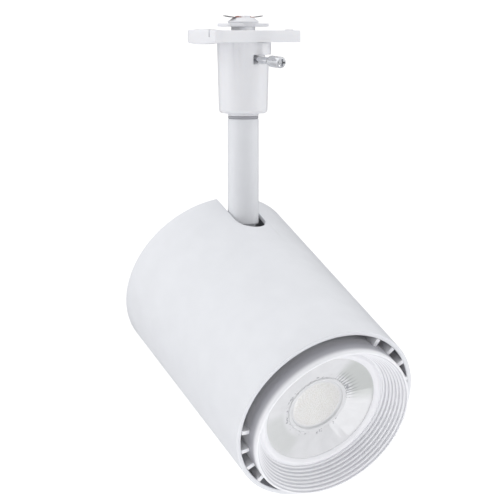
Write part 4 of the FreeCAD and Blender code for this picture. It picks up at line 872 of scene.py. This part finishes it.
def adapter_plate():
    """Plate with a swelling end grip, a slit beside its corner, a pip and a collar below."""
    half_x, half_y = PLATE_LENGTH / 2, PLATE_WIDTH / 2
    inner = GRIP_DEPTH - half_x
    mesh = bmesh.new()
    prism_into(mesh, rounded([(inner, -half_y, 0), (half_x, -half_y, 1.0), (half_x, half_y, 1.0),
                              (inner, half_y, 0)]), -PLATE_THICK, 0)
    plate = bevelled(new_object("adapter_plate_moulding", mesh), 0.35)
    mesh = bmesh.new()
    rows = []
    for step in range(GRIP_ROWS + 1):
        share = -math.cos(math.pi * step / GRIP_ROWS)
        y = half_y * share
        outer, top, low = grip_section(y)
        side = rounded([(inner + 0.6, low, 0), (inner + 0.6, top, 0),
                        (outer, top, 0.7), (outer, low, 0.7)])
        rows.append([mesh.verts.new(Vector((x, y, z)) * MM) for x, z in side])
    for row, following in zip(rows, rows[1:]):
        stitch(mesh, row, following)
    mesh.faces.new(rows[0])
    mesh.faces.new(rows[-1])
    grip = bevelled(new_object("grip", mesh), 0.35, 3, 50)
    carved(plate, grip, operation="UNION")
    tool = bmesh.new()
    middle, half = -SLIT_OFFSET, SLIT_WIDTH / 2
    box_into(tool, (-half_x - 2, middle - half, GRIP_RISE - SLIT_DEPTH),
             (-half_x + 1.6, middle + half, 2))
    carved(plate, new_object("slit", tool))
    pip = bmesh.new()
    box_into(pip, (half_x - 7.3, -half_y + 0.3, -1), (half_x - 4.1, 3 - half_y, GRIP_RISE))
    carved(plate, bevelled(new_object("pip", pip), 0.25), operation="UNION")
    collar = bmesh.new()
    low, top = -PLATE_THICK - COLLAR_DROP, 0.5 - PLATE_THICK
    lathe_into(collar, rounded([(COLLAR_BORE, low, 0.2), (COLLAR_RADIUS, low, 0.3),
                                (COLLAR_RADIUS, top, 0), (COLLAR_BORE, top, 0)]), MEDIUM)
    carved(plate, new_object("collar", collar), operation="UNION")
    hole = bmesh.new()
    lathe_into(hole, [(0, -20), (PLATE_BORE, -20), (PLATE_BORE, 5), (0, 5)], MEDIUM)
    carved(plate, new_object("hole", hole))
    return finished(plate, "adapter_plate")


# ---------------------------------------------------------------- contact head
DRUM_RADIUS, DRUM_LOW, DRUM_TOP, DRUM_BORE, NECK_RADIUS = 10.3, -22.0, -9.6, 3.2, 5.65
NECK_TOP, WING_BASE, WING_EDGE, WING_TOP, SPIGOT = 2.1, 1.75, 3.3, 3.6, 4.05
WING_HALF_LENGTH, WING_HALF_WIDTH = 11.2, 6.0
DECK = 6.0
LEAF_THICK, LEAF_INNER, LEAF_TIP, LEAF_LIFT, LEAF_ROWS = 0.3, 2.1, 10.4, 0.65, 24


def contact_leaf(node, side):
    """A thin leaf that bends up to a narrow tip."""
    mesh = bmesh.new()
    rows = []
    for step in range(LEAF_ROWS + 1):
        share = step / LEAF_ROWS
        x = LEAF_INNER + (LEAF_TIP - LEAF_INNER) * share
        height = DECK + 0.02 + LEAF_LIFT * max(0.0, (share - 0.36) / 0.64) ** 1.5
        half = 1.95 - 0.9 * max(0.0, (share - 0.45) / 0.55) ** 2
        top = height + LEAF_THICK
        rows.append([mesh.verts.new(Vector((side * x, y, z)) * MM)
                     for y, z in ((-half, height), (half, height), (half, top), (-half, top))])
    for row, following in zip(rows, rows[1:]):
        stitch(mesh, row, following)
    mesh.faces.new(rows[0])
    mesh.faces.new(rows[-1])
    finished(bevelled(new_object(f"{node}_leaf", mesh), 0.08, 2, 50), node)


def contact_head():
    """Neck and drum, locking wings, the insulating cap and its two sprung leaves."""
    turned_piece("contact_drum_turned", rounded([
        (DRUM_BORE, DRUM_LOW, 0.2), (DRUM_RADIUS, DRUM_LOW, 0.6), (DRUM_RADIUS, DRUM_TOP, 0.6),
        (NECK_RADIUS, DRUM_TOP, 0.2), (NECK_RADIUS, NECK_TOP, 0.2), (SPIGOT - 0.05, NECK_TOP, 0.1),
        (SPIGOT - 0.05, WING_TOP, 0.1), (DRUM_BORE, WING_TOP, 0.1)]), "contact_drum")
    mesh = bmesh.new()
    prism_into(mesh, round_rectangle(-WING_HALF_LENGTH, -WING_HALF_WIDTH, WING_HALF_LENGTH,
                                     WING_HALF_WIDTH, 1.6), WING_BASE, WING_EDGE)
    wings = bevelled(new_object("locking_wings_blade", mesh), 0.3)
    hub = bmesh.new()
    lathe_into(hub, rounded([(SPIGOT, WING_BASE - 0.1, 0), (5.9, WING_BASE - 0.1, 0.1),
                             (7.3, WING_TOP, 0.15), (SPIGOT, WING_TOP, 0)]), MEDIUM)
    bore = bmesh.new()
    room = NECK_RADIUS + 0.05
    lathe_into(bore, [(0, 0), (room, 0), (room, NECK_TOP), (SPIGOT, NECK_TOP), (SPIGOT, 8), (0, 8)],
               MEDIUM)
    carved(wings, new_object("hub", hub), operation="UNION")
    carved(wings, new_object("bore", bore))
    finished(wings, "locking_wings")
    mesh = bmesh.new()
    lathe_into(mesh, rounded([(0, WING_TOP, 0), (7.2, WING_TOP, 0.25), (7.45, 4.2, 0.3), (6.3, 4.9, 0.6),
                              (4.9, DECK, 0.3), (0, DECK, 0)]), MEDIUM)
    cap = new_object("contact_carrier_cap", mesh)
    bridge = bmesh.new()
    prism_into(bridge, round_rectangle(-1.8, -4.2, 1.8, 4.2, 0.9), DECK - 1.6, DECK + 0.9)
    carved(cap, bevelled(new_object("bridge", bridge), 0.3), operation="UNION")
    finished(cap, "contact_carrier")
    for node, side in (("live_contact", 1), ("neutral_contact", -1)):
        contact_leaf(node, side)


LEVER_DROOP, LEVER_TURN, LEVER_DROP = math.radians(4.0), math.radians(4.0), 13.4
PIN_START, KNOB_START, PIN_RADIUS, PIN_END, KNOB_RADIUS = 5.0, 21.8, 1.65, 20.8, 2.65


def lever_place(distance):
    """Frame at a distance out along the lever, with Z along it."""
    flat = distance * math.cos(LEVER_DROOP)
    fall = (distance - DRUM_RADIUS) * math.sin(LEVER_DROOP)
    spot = Vector((flat * math.sin(LEVER_TURN), -flat * math.cos(LEVER_TURN), -LEVER_DROP - fall)) * MM
    aim = (Matrix.Rotation(LEVER_TURN - math.pi / 2, 4, "Z")
           @ Matrix.Rotation(math.pi / 2 + LEVER_DROOP, 4, "Y"))
    return Matrix.Translation(spot) @ aim


def lever_pin():
    """Polished pin with a thinner end inside the knob."""
    turned_piece("lever_pin_chrome", rounded([
        (0, 0, 0), (PIN_RADIUS, 0, 0.2), (PIN_RADIUS, 16.7, 0.2), (1.5, 16.9, 0.05),
        (1.5, PIN_END, 0.2), (0, PIN_END, 0)]), "lever_pin", lever_place(PIN_START), 64)


def lever_knob():
    """Round chrome knob with a cross recess."""
    mesh = bmesh.new()
    lathe_into(mesh, rounded([
        (1.52, 0.0, 0.1), (2.3, 0, 0.35), (KNOB_RADIUS, 1.1, 0.4), (KNOB_RADIUS, 8.4, 0.55),
        (2.1, 9.4, 0.5), (0, 9.4, 0), (0, 4.1, 0), (1.52, 4.1, 0)]), 64)
    knob = new_object("lever_knob_chrome", mesh)
    cross_recess(knob, 1.7, 0.45, 8.1, 11)
    return finished(knob, "lever_knob", lever_place(KNOB_START))


# ---------------------------------------------------------------- camera, light and floor
CAMERA_AZIMUTH, CAMERA_ELEVATION = math.radians(-31.3), math.radians(5.5)
CAMERA_LENS = 159.3
CAMERA_AWAY, LOOK_LEFT, LOOK_UP = 996.3, 34.1, 74.3


def view_axes():
    """The camera's right, up and backward directions."""
    right = Vector((math.cos(CAMERA_AZIMUTH), math.sin(CAMERA_AZIMUTH), 0))
    level = math.cos(CAMERA_ELEVATION)
    back = Vector((math.sin(CAMERA_AZIMUTH) * level, -math.cos(CAMERA_AZIMUTH) * level,
                   math.sin(CAMERA_ELEVATION)))
    return right, back.cross(right), back


def camera():
    """Long lens from the front left, a little above the middle. Returns the point it looks at."""
    right, up, back = view_axes()
    rim = HEAD @ Vector((0, 0, TUBE_LENGTH * MM))
    middle = rim - right * LOOK_LEFT * MM + up * LOOK_UP * MM
    lens_data = bpy.data.cameras.new("camera")
    lens_data.lens = CAMERA_LENS
    lens_data.sensor_width = 36
    lens_data.clip_start = 0.05
    made = bpy.data.objects.new("camera", lens_data)
    bpy.context.scene.collection.objects.link(made)
    made.rotation_mode = "QUATERNION"
    made.rotation_quaternion = (-back).to_track_quat("-Z", "Y")
    made.location = middle + back * CAMERA_AWAY * MM
    bpy.context.scene.camera = made
    return middle


def light_panel(name, centre, across, upright, size, radiance):
    """A rectangular area light that faces along across x upright, reversed."""
    data = bpy.data.lights.new(name, "AREA")
    data.shape = "RECTANGLE"
    data.size, data.size_y = size
    data.energy = radiance * math.pi * size[0] * size[1]
    made = bpy.data.objects.new(name, data)
    bpy.context.scene.collection.objects.link(made)
    across, upright = across.normalized(), upright.normalized()
    turn = Matrix((across, upright, across.cross(upright))).transposed()
    made.matrix_world = Matrix.Translation(centre) @ turn.to_4x4()
    made.visible_camera = False


SKY_BASE, SKY_LEFT, SKY_RIGHT, SKY_TOP, SKY_DIM, SKY_SEEN = 0.23, 0.74, 0.62, 0.66, 0.85, 1.1


def along(tree, source, direction):
    """How far a direction socket points along a fixed direction, from -1 to 1."""
    dot = tree.nodes.new("ShaderNodeVectorMath")
    dot.operation = "DOT_PRODUCT"
    dot.inputs[1].default_value = direction
    tree.links.new(source, dot.inputs[0])
    return dot.outputs["Value"]


def sky(right, up, back):
    """White surroundings, brightest on the left and dim behind the lamp. The camera itself sees
    plain white."""
    world = bpy.data.worlds.new("studio")
    world.use_nodes = True
    tree = world.node_tree
    lit = tree.nodes["Background"]
    lit.inputs["Color"].default_value = (0.975, 0.98, 1.0, 1)
    aim = tree.nodes.new("ShaderNodeTexCoord").outputs["Generated"]
    total = SKY_BASE
    for direction, gain, low, high in ((-right + up * 0.15, SKY_LEFT, -0.1, 1.0),
                                       (right - back * 0.1, SKY_RIGHT, 0.0, 1.0),
                                       (up, SKY_TOP, -0.2, 1.0)):
        glow = step_between(tree, along(tree, aim, direction.normalized()), low, high)
        total = math_node(tree, "MULTIPLY_ADD", glow, gain, total)
    behind = step_between(tree, along(tree, aim, -back), 0.45, 0.9)
    open_sky = math_node(tree, "MULTIPLY_ADD", behind, -SKY_DIM, 1.0)
    tree.links.new(product(tree, total, open_sky), lit.inputs["Strength"])
    seen = tree.nodes.new("ShaderNodeBackground")
    seen.inputs["Color"].default_value = (1, 1, 1, 1)
    seen.inputs["Strength"].default_value = SKY_SEEN
    path = tree.nodes.new("ShaderNodeLightPath")
    mix = tree.nodes.new("ShaderNodeMixShader")
    tree.links.new(path.outputs["Is Camera Ray"], mix.inputs["Fac"])
    tree.links.new(lit.outputs["Background"], mix.inputs[1])
    tree.links.new(seen.outputs["Background"], mix.inputs[2])
    tree.links.new(mix.outputs["Shader"], tree.nodes["World Output"].inputs["Surface"])
    bpy.context.scene.world = world


FLOOR_DROP, FLOOR_HALF = 1100, 4000


def studio(middle):
    """White surroundings, three soft panels placed in metres, and a pale floor far below."""
    bpy.context.scene.view_settings.view_transform = "Standard"
    right, up, back = view_axes()
    sky(right, up, back)
    light_panel("left_panel", middle - right * 0.85 + back * 0.15, back, up, (0.35, 0.9), 0.9)
    below, across = Vector((0, -0.62, -0.78)).normalized(), Vector((-1, 0, 0))
    light_panel("low_panel", middle + below * 0.8, across, below.cross(across), (0.5, 0.5), 3.0)
    light_panel("right_panel", middle + right * 0.9 + up * 0.2, -back, up, (0.3, 0.8), 0.7)
    mesh = bmesh.new()
    low = cad_box[0].z / MM - FLOOR_DROP
    box_into(mesh, (-FLOOR_HALF, -FLOOR_HALF, low - 20), (FLOOR_HALF, FLOOR_HALF, low))
    floor = new_object("floor", mesh)
    made, tree, shader = node_material("pale_floor", (0.72, 0.72, 0.73), 0.7)
    grain = texture(tree, "Noise", 30, Detail=3.0)
    vary_colour(tree, shader, grain.outputs["Fac"], (0.71, 0.71, 0.72), (0.73, 0.73, 0.74))
    shader.inputs["Emission Color"].default_value = (1, 1, 1, 1)
    path = tree.nodes.new("ShaderNodeLightPath")
    tree.links.new(path.outputs["Is Camera Ray"], shader.inputs["Emission Strength"])
    floor.data.materials.append(made)


dress_cad_nodes()
housing()
rear_cover()
rear_cover_screws()
baffle()
lens()
optic_carrier()
stem()
adapter_body()
adapter_plate()
contact_head()
lever_pin()
lever_knob()
studio(camera())
